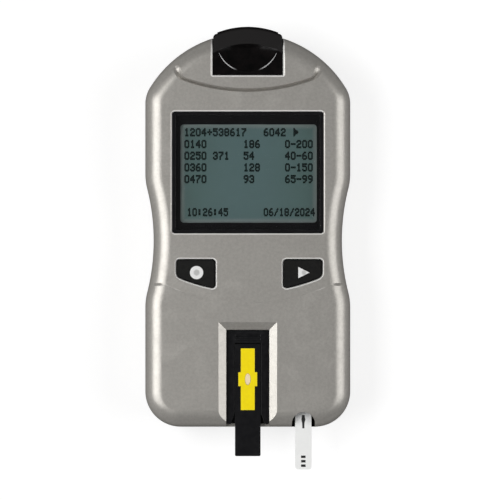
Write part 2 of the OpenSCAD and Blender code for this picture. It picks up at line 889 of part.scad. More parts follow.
module triangle(h, gap = 0) {
    half = triangle_size / 2;
    at_mark(triangle_x) linear_extrude(h)
        offset(delta = -gap) polygon([[-half, half], [-half, -half], [half, 0]]);
}

module enter_key() {
    color("black") drawn(0, -key_travel) at_key(-1) difference() {
        key_cap();
        dot(mark_t + over);
    }
}

module enter_key_mark() {
    color("white") drawn(0, -key_travel) at_key(-1) dot(mark_t, mark_gap);
}

module next_key() {
    color("black") drawn(0, -key_travel) at_key(1) difference() {
        key_cap();
        triangle(mark_t + over);
    }
}

module next_key_mark() {
    color("white") drawn(0, -key_travel) at_key(1) triangle(mark_t, mark_gap);
}

// A silicone dome under a key, hollow below
module dome() {
    low = board_top + mat_t;
    high = flange_top - flange_t - opened * key_travel;
    translate([0, dome_y, 0]) rotate_extrude() polygon([
        [dome_r - dome_wall, low], [dome_r, low], [dome_r - 1, high], [0, high],
        [0, high - dome_wall], [dome_r - 1 - dome_wall, high - dome_wall]]);
}

module enter_dome() {
    color("lightgray") seated() at_key(-1) dome();
}

module next_dome() {
    color("lightgray") seated() at_key(1) dome();
}

module keypad_mat() {
    color("gray") seated() translate([key_shift, key_top_y + dome_y, 0]) difference() {
        plate(2 * key_x + key_w, mat_h, 1, [board_top, board_top + mat_t]);
        both_sides() translate([key_x, 0, 0]) cylinder(r = dome_r - 1, h = case_t);
    }
}

module main_board() {
    z = [board_back, board_top];
    color("darkgreen") seated() difference() {
        union() {
            block(span(0, 2 * board_half), [board_leg_y, board_neck_y], z);
            block(span(0, 2 * board_neck_half), [board_leg_y, socket_y[1]], z);
            both_sides() block([board_leg_in, board_leg_half], [board_end_y, board_leg_y + over], z);
        }
        both_sides() for (p = board_screw_xy) {
            translate(p) cylinder(r = board_screw_r + screw_room, h = case_t);
        }
        tab_slots(z);
    }
}

// A chip with its row of legs on two sides
module chip_package(w, h, t, legs) {
    pitch = (h - 1) / (legs - 1);
    block(span(0, w), span(0, h), [board_top + 0.1, board_top + t]);
    both_sides() for (i = [0 : legs - 1]) {
        block([w / 2 - weld, w / 2 + 1], span((i - (legs - 1) / 2) * pitch, 0.3),
            [board_top, board_top + 0.3]);
    }
}

module processor() {
    color("dimgray") seated() translate([-board_leg_half + 7.2, board_end_y + 16, 0])
        chip_package(9, 12, 1.5, 12);
}

module memory() {
    color("dimgray") seated() translate([board_leg_half - 7.2, board_end_y + 22, 0])
        chip_package(6, 8, 1.4, 8);
}

// Small two-ended parts in rows, the first of them right across the left leg of the board
module board_parts() {
    steps = 4;
    pitch = (board_leg_half - 3 - board_leg_in - 0.9) / steps;
    color("tan") seated() {
        for (i = [0 : steps], j = [0 : 1]) {
            translate([-board_leg_half + 3 + pitch * i, board_end_y + 3 + 3 * j, board_top])
                block(span(0, 1.6), span(0, 0.8), [0, 0.8]);
        }
        for (i = [0 : 3]) {
            translate([board_leg_half - 3 - 2.8 * i, board_end_y + 30, board_top])
                block(span(0, 1.2), span(0, 2), [0, 0.9]);
        }
    }
}

module clock_crystal() {
    color("silver") seated() translate([-board_leg_half + 7.2, board_end_y + 27, 0])
        plate(10, 4, 1.9, [board_top, board_top + 2.4]);
}

module board_screws() {
    color("dimgray") seated() both_sides() for (p = board_screw_xy) {
        translate([p[0], p[1], board_back]) {
            translate([0, 0, -board_head_t]) cylinder(r = board_head_r, h = board_head_t);
            cylinder(r = board_screw_r, h = face_back - 0.6 - board_back);
        }
    }
}

// The same piece at each contact of the code chip
module at_pads() {
    for (i = [0 : pad_count - 1]) {
        translate([(i - (pad_count - 1) / 2) * pad_pitch, 0, 0]) children();
    }
}

module chip_socket() {
    color("black") seated() difference() {
        block(span(0, chip_board_w + 2 * socket_wall), socket_y, [board_top, board_top + socket_h]);
        block(span(0, chip_board_w + 2 * slide_gap), [chip_board_y - end_gap, socket_y[1] + over],
            [chip_board_z[0] - slide_gap, chip_board_z[1] + slide_gap]);
        at_pads() block(span(0, pin_w + 0.3), [chip_board_y, socket_y[1] + over],
            [board_top - over, chip_board_z[0]]);
    }
}

// A bent spring contact that stands on the board at y and touches what lies at the height z
module spring_pin(w, y, z) {
    foot = board_top + pin_t;
    lean = pin_lean;
    translate([-w / 2, y, 0]) rotate([90, 0, 90]) linear_extrude(w) polygon([
        [0, board_top], [pin_l, board_top], [pin_l, foot], [lean, foot],
        [lean + 1, z], [lean + 0.3, z], [0, foot]]);
}

module chip_socket_pins() {
    color("gold") seated() at_pads() spring_pin(pin_w, chip_board_y + 0.3, chip_board_z[0] - 0.1);
}

module code_chip_case() {
    color("black") drawn(chip_travel) difference() {
        intersection() {
            union() {
                block(span(0, chip_w), [chip_base_y, chip_side_end_y], [chip_back, chip_front]);
                block(span(0, chip_w - 2 * chip_r), [chip_base_y, chip_end_y], [chip_back, chip_front]);
                both_sides() translate([chip_w / 2 - chip_r, chip_side_end_y, chip_back])
                    cylinder(r = chip_r, h = chip_t);
            }
            translate([0, chip_arc_cy, 0]) cylinder(r = chip_arc_r, h = case_t, $fn = 96);
        }
        translate([0, chip_arc_cy, chip_front]) rotate_extrude($fn = 96) polygon([
            [chip_arc_r - band_l, 0], [chip_arc_r + over, -band_drop],
            [chip_arc_r + over, over], [chip_arc_r - band_l, over]]);
        intersection() {
            translate([0, scoop_y, chip_front + scoop_r - scoop_d]) sphere(r = scoop_r, $fn = 96);
            translate([0, chip_end_y - band_l - weld - scoop_edge_r, 0])
                cylinder(r = scoop_edge_r, h = case_t + over, $fn = 96);
        }
        block(span(0, chip_board_w + 2 * lay_gap), [chip_base_y - over, chip_base_y + chip_board_in],
            [chip_board_z[0] - mark_gap, chip_board_z[1] + mark_gap]);
    }
}

module code_chip_board() {
    color("darkgreen") drawn(chip_travel)
        block(span(0, chip_board_w), [chip_board_y, chip_base_y + chip_board_in - lay_gap], chip_board_z);
}

module code_chip_contacts() {
    color("gold") drawn(chip_travel) at_pads()
        block(span(0, contact_pad_w), span(chip_board_y + 2.7, contact_pad_l),
            [chip_board_z[0] - contact_pad_t, chip_board_z[0]]);
}

// The same piece at each reading place along the strip
module at_stations() {
    for (i = [-1 : 1]) {
        translate([0, optics_y + i * station_pitch, 0]) children();
    }
}

// Both lines that lamps shine along, from the lit spot on the strip down to the lamps
module lamp_lines() {
    both_sides() translate([0, 0, strip_back]) rotate([0, 180 - lamp_angle, 0]) children();
}

module optics_block() {
    pocket = light_sensor_w + 2 * light_sensor_room;
    color("black") seated() difference() {
        union() {
            block(span(0, optics_w), span(optics_y, optics_l), [optics_back, floor_back]);
            both_sides() translate([ear_x, optics_y, ear_back]) cylinder(r = ear_r, h = ear_t);
        }
        both_sides() translate([ear_x, optics_y, ear_back - 2 * over]) {
            cylinder(r = board_screw_r + screw_room, h = ear_t + 3 * over);
            cylinder(r = board_head_r + screw_room, h = 2 * over);
        }
        block(span(0, glass_w + 2 * trim_gap), span(optics_y, glass_l + 2 * trim_gap),
            [floor_back - glass_t, floor_back + over]);
        at_stations() {
            translate([0, 0, optics_back - over]) cylinder(r = sight_r, h = optics_h + over);
            lamp_lines() {
                cylinder(r = beam_r, h = lamp_near + over);
                translate([0, 0, lamp_near]) cylinder(r = lamp_r + trim_gap, h = 3 * lamp_l);
            }
            block(span(0, pocket), span(0, pocket),
                [optics_back - over, optics_back + light_sensor_t + light_sensor_room]);
        }
    }
}

module optics_glass() {
    color("lightcyan", 0.4) seated()
        block(span(0, glass_w), span(optics_y, glass_l), [floor_back - glass_t, floor_back - mark_gap]);
}

module optics_lamps() {
    color("lightyellow") seated() at_stations() lamp_lines() {
        translate([0, 0, lamp_near + trim_gap + lamp_r]) {
            sphere(r = lamp_r, $fn = 32);
            cylinder(r = lamp_r, h = lamp_l - lamp_r);
        }
    }
}

module light_sensors() {
    color("dimgray") seated() at_stations()
        block(span(0, light_sensor_w), span(0, light_sensor_w), [optics_back, optics_back + light_sensor_t]);
}

module optics_board() {
    color("darkgreen") seated()
        block(span(0, optics_w), [optics_y - optics_l / 2, optics_y + optics_l / 2 + optics_board_tail],
            [optics_back - optics_board_t, optics_back]);
}

module optics_screws() {
    color("dimgray") seated() both_sides() translate([ear_x, optics_y, ear_back]) {
        translate([0, 0, -board_head_t]) cylinder(r = board_head_r, h = board_head_t);
        cylinder(r = board_screw_r, h = ear_t + optics_hole_l - 0.6);
    }
}

// The flat flex from the small board up to the underside of the main board
module optics_flex() {
    y0 = optics_y + optics_l / 2 + 0.5;
    y1 = y0 + 5;
    y2 = board_leg_y + 1.5;
    bend = board_back - 3;
    color("orange") seated() translate([-flex_w / 2, 0, 0]) rotate([90, 0, 90]) linear_extrude(flex_w)
        polygon([
            [y0, optics_back], [y1, optics_back], [y2, bend], [y2, board_back - flex_t],
            [y2 + 3, board_back - flex_t], [y2 + 3, board_back], [y2 - flex_t, board_back],
            [y2 - flex_t, bend + weld], [y1 - weld, optics_back + flex_t], [y0, optics_back + flex_t]]);
}

module strip_holder() {
    groove = strip_w + 2 * slide_gap;
    groove_z = strip_back - lay_gap;
    color("black") drawn(-holder_travel) difference() {
        block(span(0, channel_w - 2 * slide_gap), holder_y, [holder_back, holder_top]);
        block(span(0, groove), [holder_y[0] - over, strip_y + end_gap], [groove_z, holder_top + over]);
        translate([0, holder_y[0], groove_z]) linear_extrude(holder_t) polygon([
            [-groove / 2, mouth_l], [groove / 2, mouth_l],
            [groove / 2 + mouth_flare, -over], [-groove / 2 - mouth_flare, -over]]);
        block(span(0, light_slot_w - 1.6), span(optics_y, light_slot_l),
            [holder_back - over, strip_back + over]);
        for (i = [0 : 1]) {
            block(span(0, 9), span(holder_y[1] - 1.85 - 1.3 * i, 0.7), [holder_top - 0.3, holder_top + over]);
        }
    }
}

// The long hole in the cover and the strip that the pad lies in, or the pad
module pad_shape(r, z, h) {
    translate([0, cover_wide_y, z]) linear_extrude(h) scale([1, pad_stretch]) circle(r);
}

module test_strip() {
    color("black") drawn(-holder_travel - strip_travel) difference() {
        translate([0, strip_y - strip_l / 2, 0]) plate(strip_w, strip_l, strip_r, [strip_back, strip_top]);
        pad_shape(pad_r + pad_gap, strip_top - pad_sunk, over);
        at_stations() block(span(0, reading_w + 2 * pad_gap), span(0, reading_l + 2 * pad_gap),
            [strip_back - over, strip_back + mark_gap + reading_t]);
    }
}

module test_strip_cover() {
    z = [strip_top, strip_top + cover_t];
    color("yellow") drawn(-holder_travel - strip_travel) difference() {
        union() {
            block(span(0, cover_w), cover_y, z);
            block(span(0, cover_wide), span(cover_wide_y, cover_wide_l), z);
        }
        pad_shape(pad_r + pad_gap, strip_top - over, 3 * over);
    }
}

module test_pad() {
    color("mistyrose") drawn(-holder_travel - strip_travel) pad_shape(pad_r, strip_top - pad_sunk, pad_t);
}

module reading_pads() {
    color("white") drawn(-holder_travel - strip_travel) at_stations()
        block(span(0, reading_w), span(0, reading_l),
            [strip_back + mark_gap, strip_back + mark_gap + reading_t]);
}

module sensor_strip() {
    color("white") drawn(-sensor_travel) translate([sensor_x, sensor_y - sensor_l / 2, 0])
        plate(sensor_w, sensor_l, sensor_r, sensor_z);
}

// The tapered tick and the three bars printed on the sensor strip
module sensor_strip_marks() {
    color("black") drawn(-sensor_travel) translate([sensor_x, 0, sensor_z[1]]) linear_extrude(ink_t) {
        translate([0, -half_h]) polygon([[-0.45, 4.4], [0.45, 4.4], [0.7, 2.7], [0.4, 1.4], [0.35, -0.4],
            [-0.35, -0.4], [-0.4, 1.4], [-0.7, 2.7]]);
        for (i = [0 : 2]) {
            translate([-bar_w / 2, sensor_end_y + bar_l + bar_pitch * i]) square([bar_w, bar_l]);
        }
    }
}

// The same piece at each contact of the sensor strip
module at_sensor_pins() {
    for (i = [-1 : 1]) {
        translate([sensor_x + i * sensor_pin_pitch, 0, 0]) children();
    }
}

module sensor_socket() {
    color("ivory") seated() difference() {
        block(span(sensor_x, sensor_w + 2 * sensor_socket_wall), sensor_socket_y,
            [board_top, face_back - 0.4]);
        block(span(sensor_x, slot_w), [sensor_socket_y[0] - over, sensor_y + end_gap], slot_z);
        at_sensor_pins()
            block(span(0, sensor_pin_w + 0.2), [sensor_socket_y[0] + 2, sensor_y],
                [board_top - over, sensor_z[0]]);
    }
}

module sensor_socket_contacts() {
    color("gold") seated() at_sensor_pins()
        spring_pin(sensor_pin_w, sensor_socket_y[0] + 2.4, sensor_z[0] - lay_gap);
}

// Which end of a cell or a contact is where: cells lie with their buttons to the right and left in turn
function cell_side(i) = i % 2 == 0 ? 1 : -1;

// Puts a piece that lies along the axis of a cell, its button to the right, where the cell is
module at_cell(i) {
    translate([0, bay_y + (i - 1.5) * cell_pitch, cell_z]) on_side(cell_side(i)) children();
}

module cell(i) {
    color("darkgray") seated() at_cell(i) translate([bay_x - contact_t - cell_l, 0, 0]) rotate([0, 90, 0]) {
        cylinder(r = cell_d / 2, h = cell_l - cell_button_l);
        cylinder(r = cell_button_r, h = cell_l);
    }
}

module cell_1() {
    cell(0);
}

module cell_2() {
    cell(1);
}

module cell_3() {
    cell(2);
}

module cell_4() {
    cell(3);
}

// One conical spring of round wire, from its wide end at x = 0 to its narrow end
module spring() {
    steps = 14;
    sides = 6;
    total = spring_turns * steps;
    points = [for (k = [0 : total]) let (
        a = 360 * k / steps, r = spring_r + (spring_tip_r - spring_r) * k / total,
        x = wire_r + (spring_l - 2 * wire_r) * k / total)
        for (j = [0 : sides - 1]) let (b = 360 * j / sides)
            [x + wire_r * sin(b), (r + wire_r * cos(b)) * cos(a), (r + wire_r * cos(b)) * sin(a)]];
    faces = concat(
        [[for (j = [sides - 1 : -1 : 0]) j]],
        [for (k = [0 : total - 1]) for (j = [0 : sides - 1]) let (
            a = k * sides + j, b = k * sides + (j + 1) % sides)
            [a, b, b + sides, a + sides]],
        [[for (j = [0 : sides - 1]) total * sides + j]]);
    polyhedron(points, faces);
}

module cell_springs() {
    color("silver") seated() for (i = [0 : 3]) {
        at_cell(i) translate([-bay_x + contact_t, 0, 0]) spring();
    }
}

// A contact plate on the side wall of the bay, from the first to the last cell that it serves
module contact_plate(side, first, last) {
    x = [bay_x - contact_t, bay_x];
    y0 = bay_y + (first - 1.5) * cell_pitch;
    y1 = bay_y + (last - 1.5) * cell_pitch;
    on_side(side) {
        block(x, [y0 - contact_reach, y1 + contact_reach], span(cell_z, contact_h));
        if (first == last) {
            block(x, span(y0, tab_w), [cell_z + contact_h / 2 - weld, board_top - tab_room]);
        }
    }
}

module contact_plates() {
    color("silver") seated() {
        contact_plate(1, 0, 0);
        contact_plate(-1, 0, 1);
        contact_plate(1, 1, 2);
        contact_plate(-1, 2, 3);
        contact_plate(1, 3, 3);
    }
}

front_case();
rear_case();
battery_door();
case_screws();
rear_label();
display_trim();
display_window();
window_gasket();
display_panel();
light_guide();
display_frame();
display_connector();
enter_key();
enter_key_mark();
next_key();
next_key_mark();
enter_dome();
next_dome();
keypad_mat();
main_board();
processor();
memory();
board_parts();
clock_crystal();
board_screws();
chip_socket();
chip_socket_pins();
code_chip_case();
code_chip_board();
code_chip_contacts();
optics_block();
optics_glass();
optics_lamps();
light_sensors();
optics_board();
optics_screws();
optics_flex();
strip_holder();
test_strip();
test_strip_cover();
test_pad();
reading_pads();
sensor_strip();
sensor_strip_marks();
sensor_socket();
sensor_socket_contacts();
cell_1();
cell_2();
cell_3();
cell_4();
cell_springs();
contact_plates();
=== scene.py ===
import json
from contextlib import contextmanager
from math import atan2, cos, hypot, pi, radians, sin, sqrt

import bmesh
import bpy
from mathutils import Euler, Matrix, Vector

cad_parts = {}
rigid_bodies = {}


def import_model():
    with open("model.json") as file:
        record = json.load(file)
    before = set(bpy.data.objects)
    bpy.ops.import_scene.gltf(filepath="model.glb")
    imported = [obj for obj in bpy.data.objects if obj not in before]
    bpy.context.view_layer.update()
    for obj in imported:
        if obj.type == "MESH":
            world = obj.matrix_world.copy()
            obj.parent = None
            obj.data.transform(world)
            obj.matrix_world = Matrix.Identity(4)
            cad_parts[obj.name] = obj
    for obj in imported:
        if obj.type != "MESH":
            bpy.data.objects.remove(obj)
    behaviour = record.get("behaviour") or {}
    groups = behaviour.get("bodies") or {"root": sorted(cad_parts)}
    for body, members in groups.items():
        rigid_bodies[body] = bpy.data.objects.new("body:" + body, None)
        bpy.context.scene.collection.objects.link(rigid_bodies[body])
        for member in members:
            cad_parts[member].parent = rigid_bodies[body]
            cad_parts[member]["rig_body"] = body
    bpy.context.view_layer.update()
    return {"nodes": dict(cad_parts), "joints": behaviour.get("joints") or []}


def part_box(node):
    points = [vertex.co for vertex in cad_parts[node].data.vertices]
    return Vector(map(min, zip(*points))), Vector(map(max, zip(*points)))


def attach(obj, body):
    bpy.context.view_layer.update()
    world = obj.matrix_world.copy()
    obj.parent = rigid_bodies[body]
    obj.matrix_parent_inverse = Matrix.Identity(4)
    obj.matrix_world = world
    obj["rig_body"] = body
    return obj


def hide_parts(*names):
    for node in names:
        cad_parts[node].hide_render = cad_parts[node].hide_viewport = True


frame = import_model()
mm = 0.001
nodes = frame["nodes"]


def nodeBox(name):
    low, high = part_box(name)
    return low / mm, high / mm


caseLow, caseHigh = nodeBox("front_case")
caseMiddleY = (caseLow.y + caseHigh.y) / 2  # the case's own middle, the origin of every outline below
faceZ = caseHigh.z
seamZ = caseLow.z
print("stage: frame loaded")


# Meshes, all worked out in millimetres from the middle of the case

fine = dict(merge=0.002, flat=0.01, plain=0.6, bevelSteps=3, bevelAngle=38, smoothAngle=34, shellAngle=22,
            normalWeight=60, straight=0.3, flareTurn=80, flareSteps=5, flareOut=1.6)


def arc(x, y, radius, start, end, steps, last=True):
    angles = [radians(start + (end - start) * i / steps) for i in range(steps + 1 if last else steps)]
    return [(x + radius * cos(angle), y + radius * sin(angle)) for angle in angles]


# a point's place from the middle of the case
def placeOf(point):
    return point.x / mm, point.y / mm - caseMiddleY, point.z / mm


def linked(name, data):
    made = bpy.data.objects.new(name, data)
    bpy.context.scene.collection.objects.link(made)
    return made


def meshPiece(name, points, faces=()):
    mesh = bpy.data.meshes.new(name)
    mesh.from_pydata([(x * mm, (y + caseMiddleY) * mm, z * mm) for x, y, z in points], [], faces)
    mesh.update()
    return linked(name, mesh)


# rings run from the lowest to the highest, each anticlockwise seen from above
def ringLoft(name, rings):
    count = len(rings[0])
    points = [point for ring in rings for point in ring]
    faces = [list(range(count - 1, -1, -1)), [(len(rings) - 1) * count + i for i in range(count)]]
    for level in range(len(rings) - 1):
        for i in range(count):
            a, b = level * count + i, level * count + (i + 1) % count
            faces.append((a, b, b + count, a + count))
    return meshPiece(name, points, faces)


# opens a piece's mesh and writes the changes back
@contextmanager
def editing(piece):
    work = bmesh.new()
    work.from_mesh(piece.data)
    yield work
    work.to_mesh(piece.data)
    work.free()


def facedOut(piece):
    with editing(piece) as work:
        bmesh.ops.recalc_face_normals(work, faces=work.faces)
    return piece


def flatRing(outline, z):
    return [(x, y, z) for x, y in outline]


# an anticlockwise outline moved outwards, its corners kept
def grown(outline, distance):
    result = []
    for i, (x, y) in enumerate(outline):
        before, after = outline[i - 1], outline[(i + 1) % len(outline)]
        first = Vector((x - before[0], y - before[1])).normalized()
        second = Vector((after[0] - x, after[1] - y)).normalized()
        normal = Vector((first.y + second.y, -first.x - second.x)).normalized()
        share = max(normal.dot(Vector((second.y, -second.x))), fine["straight"])
        result.append((x + normal.x * distance / share, y + normal.y * distance / share))
    return result


def boxOutline(x0, x1, y0, y1, radius=0, steps=6):
    if radius == 0:
        return [(x0, y0), (x1, y0), (x1, y1), (x0, y1)]
    corners = [(x1 - radius, y0 + radius, -90), (x1 - radius, y1 - radius, 0),
               (x0 + radius, y1 - radius, 90), (x0 + radius, y0 + radius, 180)]
    return [point for x, y, start in corners for point in arc(x, y, radius, start, start + 90, steps)]


# the same outline with points no further apart than the step
def divided(outline, step):
    result = []
    for (x0, y0), (x1, y1) in zip(outline, outline[1:] + outline[:1]):
        count = max(1, round(hypot(x1 - x0, y1 - y0) / step))
        result += [(x0 + (x1 - x0) * i / count, y0 + (y1 - y0) * i / count) for i in range(count)]
    return result


# a straight hole whose upper rim turns out in a round; top gives the height it ends at over a point
def flaredCutter(name, outline, bottom, rim, top=lambda x, y: faceZ):
    rings = [flatRing(outline, bottom)]
    for i in range(fine["flareSteps"] + 1):
        angle = radians(fine["flareTurn"] * i / fine["flareSteps"])
        ring = grown(outline, rim * (1 - cos(angle)))
        rings.append([(x, y, top(x, y) - rim + rim * sin(angle)) for x, y in ring])
    rings.append(flatRing(grown(outline, rim * fine["flareOut"]), max(z for _, _, z in rings[-1]) + rim))
    return ringLoft(name, rings)


# replaces the piece's mesh with the result of its modifiers
def makePlain(piece):
    graph = bpy.context.evaluated_depsgraph_get()
    mesh = bpy.data.meshes.new_from_object(piece.evaluated_get(graph))
    piece.modifiers.clear()
    piece.data = mesh
    return piece


def combine(piece, other, how):
    boolean = piece.modifiers.new("combine", "BOOLEAN")
    boolean.operation, boolean.solver, boolean.object = how, "MANIFOLD", other
    makePlain(piece)
    bpy.data.objects.remove(other)
    return piece


def carve(piece, cutter):
    return combine(piece, cutter, "DIFFERENCE")


# a node's mesh with its loose triangles merged
def merged(node):
    work = bmesh.new()
    work.from_mesh(nodes[node].data)
    bmesh.ops.remove_doubles(work, verts=work.verts, dist=fine["merge"] * mm)
    return work


def cadCopy(node, name):
    piece = linked(name, nodes[node].data.copy())
    work = merged(node)
    work.to_mesh(piece.data)
    work.free()
    piece.data.materials.clear()
    return piece


# plain faces, rounded edges and smooth curves
def softened(piece, width):
    with editing(piece) as work:
        bmesh.ops.dissolve_limit(work, angle_limit=radians(fine["plain"]), verts=work.verts, edges=work.edges)
    bevel = piece.modifiers.new("edges", "BEVEL")
    bevel.width, bevel.segments = width * mm, fine["bevelSteps"]
    bevel.limit_method, bevel.angle_limit = "ANGLE", radians(fine["bevelAngle"])
    bevel.use_clamp_overlap = True
    return smoothed(piece, fine["smoothAngle"])


def smoothed(piece, angle):
    makePlain(piece)
    with editing(piece) as work:
        for face in work.faces:
            face.smooth = True
        for edge in work.edges:
            edge.smooth = edge.calc_face_angle(pi) < radians(angle)
    weighted = piece.modifiers.new("normals", "WEIGHTED_NORMAL")
    weighted.keep_sharp, weighted.weight = True, fine["normalWeight"]
    return piece


# the outer edge of a node's highest face, anticlockwise
def topLoop(node):
    work = merged(node)
    top = max(point.co.z for point in work.verts) - fine["flat"] * mm
    faces = {face for face in work.faces if all(point.co.z > top for point in face.verts)}
    following = {}
    for face in faces:
        for corner in face.loops:
            if not set(corner.edge.link_faces) <= faces:
                following[corner.vert.index] = corner.link_loop_next.vert.index
    work.verts.ensure_lookup_table()
    loops = []
    while following:
        start, index = next(iter(following.items()))
        del following[start]
        loop = [start]
        while index != start:
            loop.append(index)
            index = following.pop(index)
        loops.append([placeOf(work.verts[i].co)[:2] for i in loop])
    work.free()
    return max(loops, key=lambda loop: max(x for x, y in loop) - min(x for x, y in loop))


# the box of each loose solid of a node
def looseParts(node):
    work = merged(node)
    waiting, boxes = set(work.verts), []
    while waiting:
        stack = [waiting.pop()]
        found = list(stack)
        while stack:
            for edge in stack.pop().link_edges:
                for point in waiting.intersection(edge.verts):
                    waiting.discard(point)
                    stack.append(point)
                    found.append(point)
        low, high = [Vector([end(point.co[axis] for point in found) / mm for axis in range(3)])
                     for end in (min, max)]
        low.y, high.y = low.y - caseMiddleY, high.y - caseMiddleY
        boxes.append((low, high))
    work.free()
    return sorted(boxes, key=lambda ends: (round(ends[0].y, 2), round(ends[0].x, 2)))


# Outline of the case

caseShape = dict(cornerRadius=12.8, shoulderRadius=10.8, topBulge=4.4, waistIn=3, waistRadius=76.3,
                 waistBlend=21.6, waistDown=3.9, cornerSteps=22, blendSteps=7, waistSteps=20,
                 shoulderSteps=16, topSteps=30, frontEdge=6.5, rearEdge=3.5, skin=1.2, overlap=0.2,
                 seamBevel=0.18, levels=18, coreSpare=3, spare=1, pointStep=0.25)
halfWidth = caseHigh.x
halfLength = (caseHigh.y - caseLow.y) / 2
topRadius = halfWidth + caseShape["topBulge"]
topY = halfLength - topRadius


# the angle between the long side and the near side of a right-angled triangle
def turnOf(long, near):
    return atan2(sqrt(long ** 2 - near ** 2), near)


waistReach = caseShape["waistRadius"] + caseShape["waistBlend"]
waistTurn = turnOf(waistReach, waistReach - caseShape["waistIn"])
shoulderSpan = topRadius - caseShape["shoulderRadius"]
shoulderTurn = turnOf(shoulderSpan, halfWidth - caseShape["shoulderRadius"])


def caseOutline(inward=0.0):
    shape = caseShape
    corner, shoulder, blend = shape["cornerRadius"], shape["shoulderRadius"], shape["waistBlend"]
    waistY, turn, topTurn = -shape["waistDown"], waistTurn * 180 / pi, shoulderTurn * 180 / pi
    reach = waistReach * sin(waistTurn)
    right = arc(halfWidth - corner, -halfLength + corner, corner - inward, -90, 0, shape["cornerSteps"])
    right += arc(halfWidth - blend, waistY - reach, blend - inward, 0, turn, shape["blendSteps"], False)
    right += arc(halfWidth - shape["waistIn"] + shape["waistRadius"], waistY, shape["waistRadius"] + inward,
                 180 + turn, 180 - turn, shape["waistSteps"], False)
    right += arc(halfWidth - blend, waistY + reach, blend - inward, -turn, 0, shape["blendSteps"])
    right += arc(halfWidth - shoulder, topY + shoulderSpan * sin(shoulderTurn), shoulder - inward,
                 0, topTurn, shape["shoulderSteps"], False)
    right += arc(0, topY, topRadius - inward, topTurn, 90, shape["topSteps"])
    return right + [(-x, y) for x, y in reversed(right[1:-1])] + [(-right[0][0], right[0][1])]


finePoints = divided(caseOutline(), caseShape["pointStep"])


# height of the case's front over a point, from its distance to the outline
def surfaceHeight(x, y):
    nearest = min(hypot(x - px, y - py) for px, py in finePoints)
    edge = caseShape["frontEdge"]
    if nearest >= edge:
        return faceZ
    return faceZ - edge + sqrt(max(edge ** 2 - (edge - nearest) ** 2, 0))


# a fine outer skin grown onto the inner part of the CAD shell
def skinned(node, name, edge, height, turned):
    shape = caseShape

    def shellLoft(label, inward, below, bevel=0.0):
        levels = [(inward + bevel, -below), (inward, -below + bevel)] if bevel else [(inward, -below)]
        radius, top = edge - inward, height - inward
        for i in range(shape["levels"] + 1):
            angle = pi / 2 * i / shape["levels"]
            levels.append((inward + radius * (1 - cos(angle)), top - radius + radius * sin(angle)))
        if turned:
            levels = [(inset, -z) for inset, z in reversed(levels)]
        return ringLoft(label, [flatRing(caseOutline(inset), seamZ + z) for inset, z in levels])

    shell = shellLoft(name, 0, 0, shape["seamBevel"])
    carve(shell, shellLoft("skinInside", shape["skin"], shape["spare"]))
    limit = shellLoft("coreLimit", shape["skin"] - shape["overlap"], shape["coreSpare"])
    return combine(shell, combine(cadCopy(node, "core"), limit, "INTERSECT"), "UNION")


def eased(share):
    share = min(1, max(0, share))
    return share * share * (3 - 2 * share)


# half the width and the depth of each groove are given for its middle and for its ends
grooveShape = dict(fade=2.6, change=7, proud=0.035, hollow=1.2, above=0.8, across=12, middleSteps=24,
                   endSteps=4, easing=2)
grooves = dict(
    upper=dict(fromTop=21, radius=68, half=23.5, end=[(1.1, 1.1), (2.7, 4.4)], middle=(0.7, 1.3),
               ends=(1.8, 1.15)),
    lower=dict(fromTop=97.5, radius=70, half=29.5, end=[(1.5, 0.3), (5.1, 0.3)], middle=(0.8, 0.07),
               ends=(0.5, 0.5)))


def groovePath(groove):
    steps, endSteps, radius = grooveShape["middleSteps"], grooveShape["endSteps"], groove["radius"]
    middleY = halfLength - groove["fromTop"]
    places = [groove["half"] * i / steps for i in range(steps + 1)]
    path = [(x, middleY + radius - sqrt(radius ** 2 - x ** 2)) for x in places]
    cornerX, cornerY = path[-1]
    for x, y in groove["end"]:
        startX, startY = path[-1]
        stepX, stepY = (cornerX + x - startX) / endSteps, (cornerY + y - startY) / endSteps
        path += [(startX + stepX * i, startY + stepY * i) for i in range(1, endSteps + 1)]
    for _ in range(grooveShape["easing"]):
        path = [path[0]] + [((a[0] + 2 * b[0] + c[0]) / 4, (a[1] + 2 * b[1] + c[1]) / 4)
                            for a, b, c in zip(path, path[1:], path[2:])] + [path[-1]]
    return [(-x, y) for x, y in reversed(path[1:])] + path


# a soft furrow along a path that follows the front and fades out at both ends
def grooveCutter(name, groove):
    shape = grooveShape
    lifted = [Vector((x, y, surfaceHeight(x, y))) for x, y in groovePath(groove)]
    lengths = [0]
    for a, b in zip(lifted, lifted[1:]):
        lengths.append(lengths[-1] + (b - a).length)
    rings = []
    for i, place in enumerate(lifted):
        along = (lifted[min(i + 1, len(lifted) - 1)] - lifted[max(i - 1, 0)]).normalized()
        flatSide = Vector((-along.y, along.x, 0)).normalized()
        up = along.cross(flatSide).normalized()
        fromEnd = min(lengths[i], lengths[-1] - lengths[i])
        inner = eased(fromEnd / shape["change"])
        half, depth = [end + (mid - end) * inner for mid, end in zip(groove["middle"], groove["ends"])]
        depth *= eased(fromEnd / shape["fade"])
        ring = []
        for j in range(shape["across"] + 1):
            across = -1 + 2 * j / shape["across"]
            drop = -depth * (1 - abs(across)) ** shape["hollow"] + shape["proud"]
            ring.append(place + flatSide * (-across * half) + up * drop)
        ring += [place - flatSide * half + up * shape["above"], place + flatSide * half + up * shape["above"]]
        rings.append([tuple(point) for point in ring])
    return facedOut(ringLoft(name, rings))


# Front shell, with every opening taken from the piece that sits in it

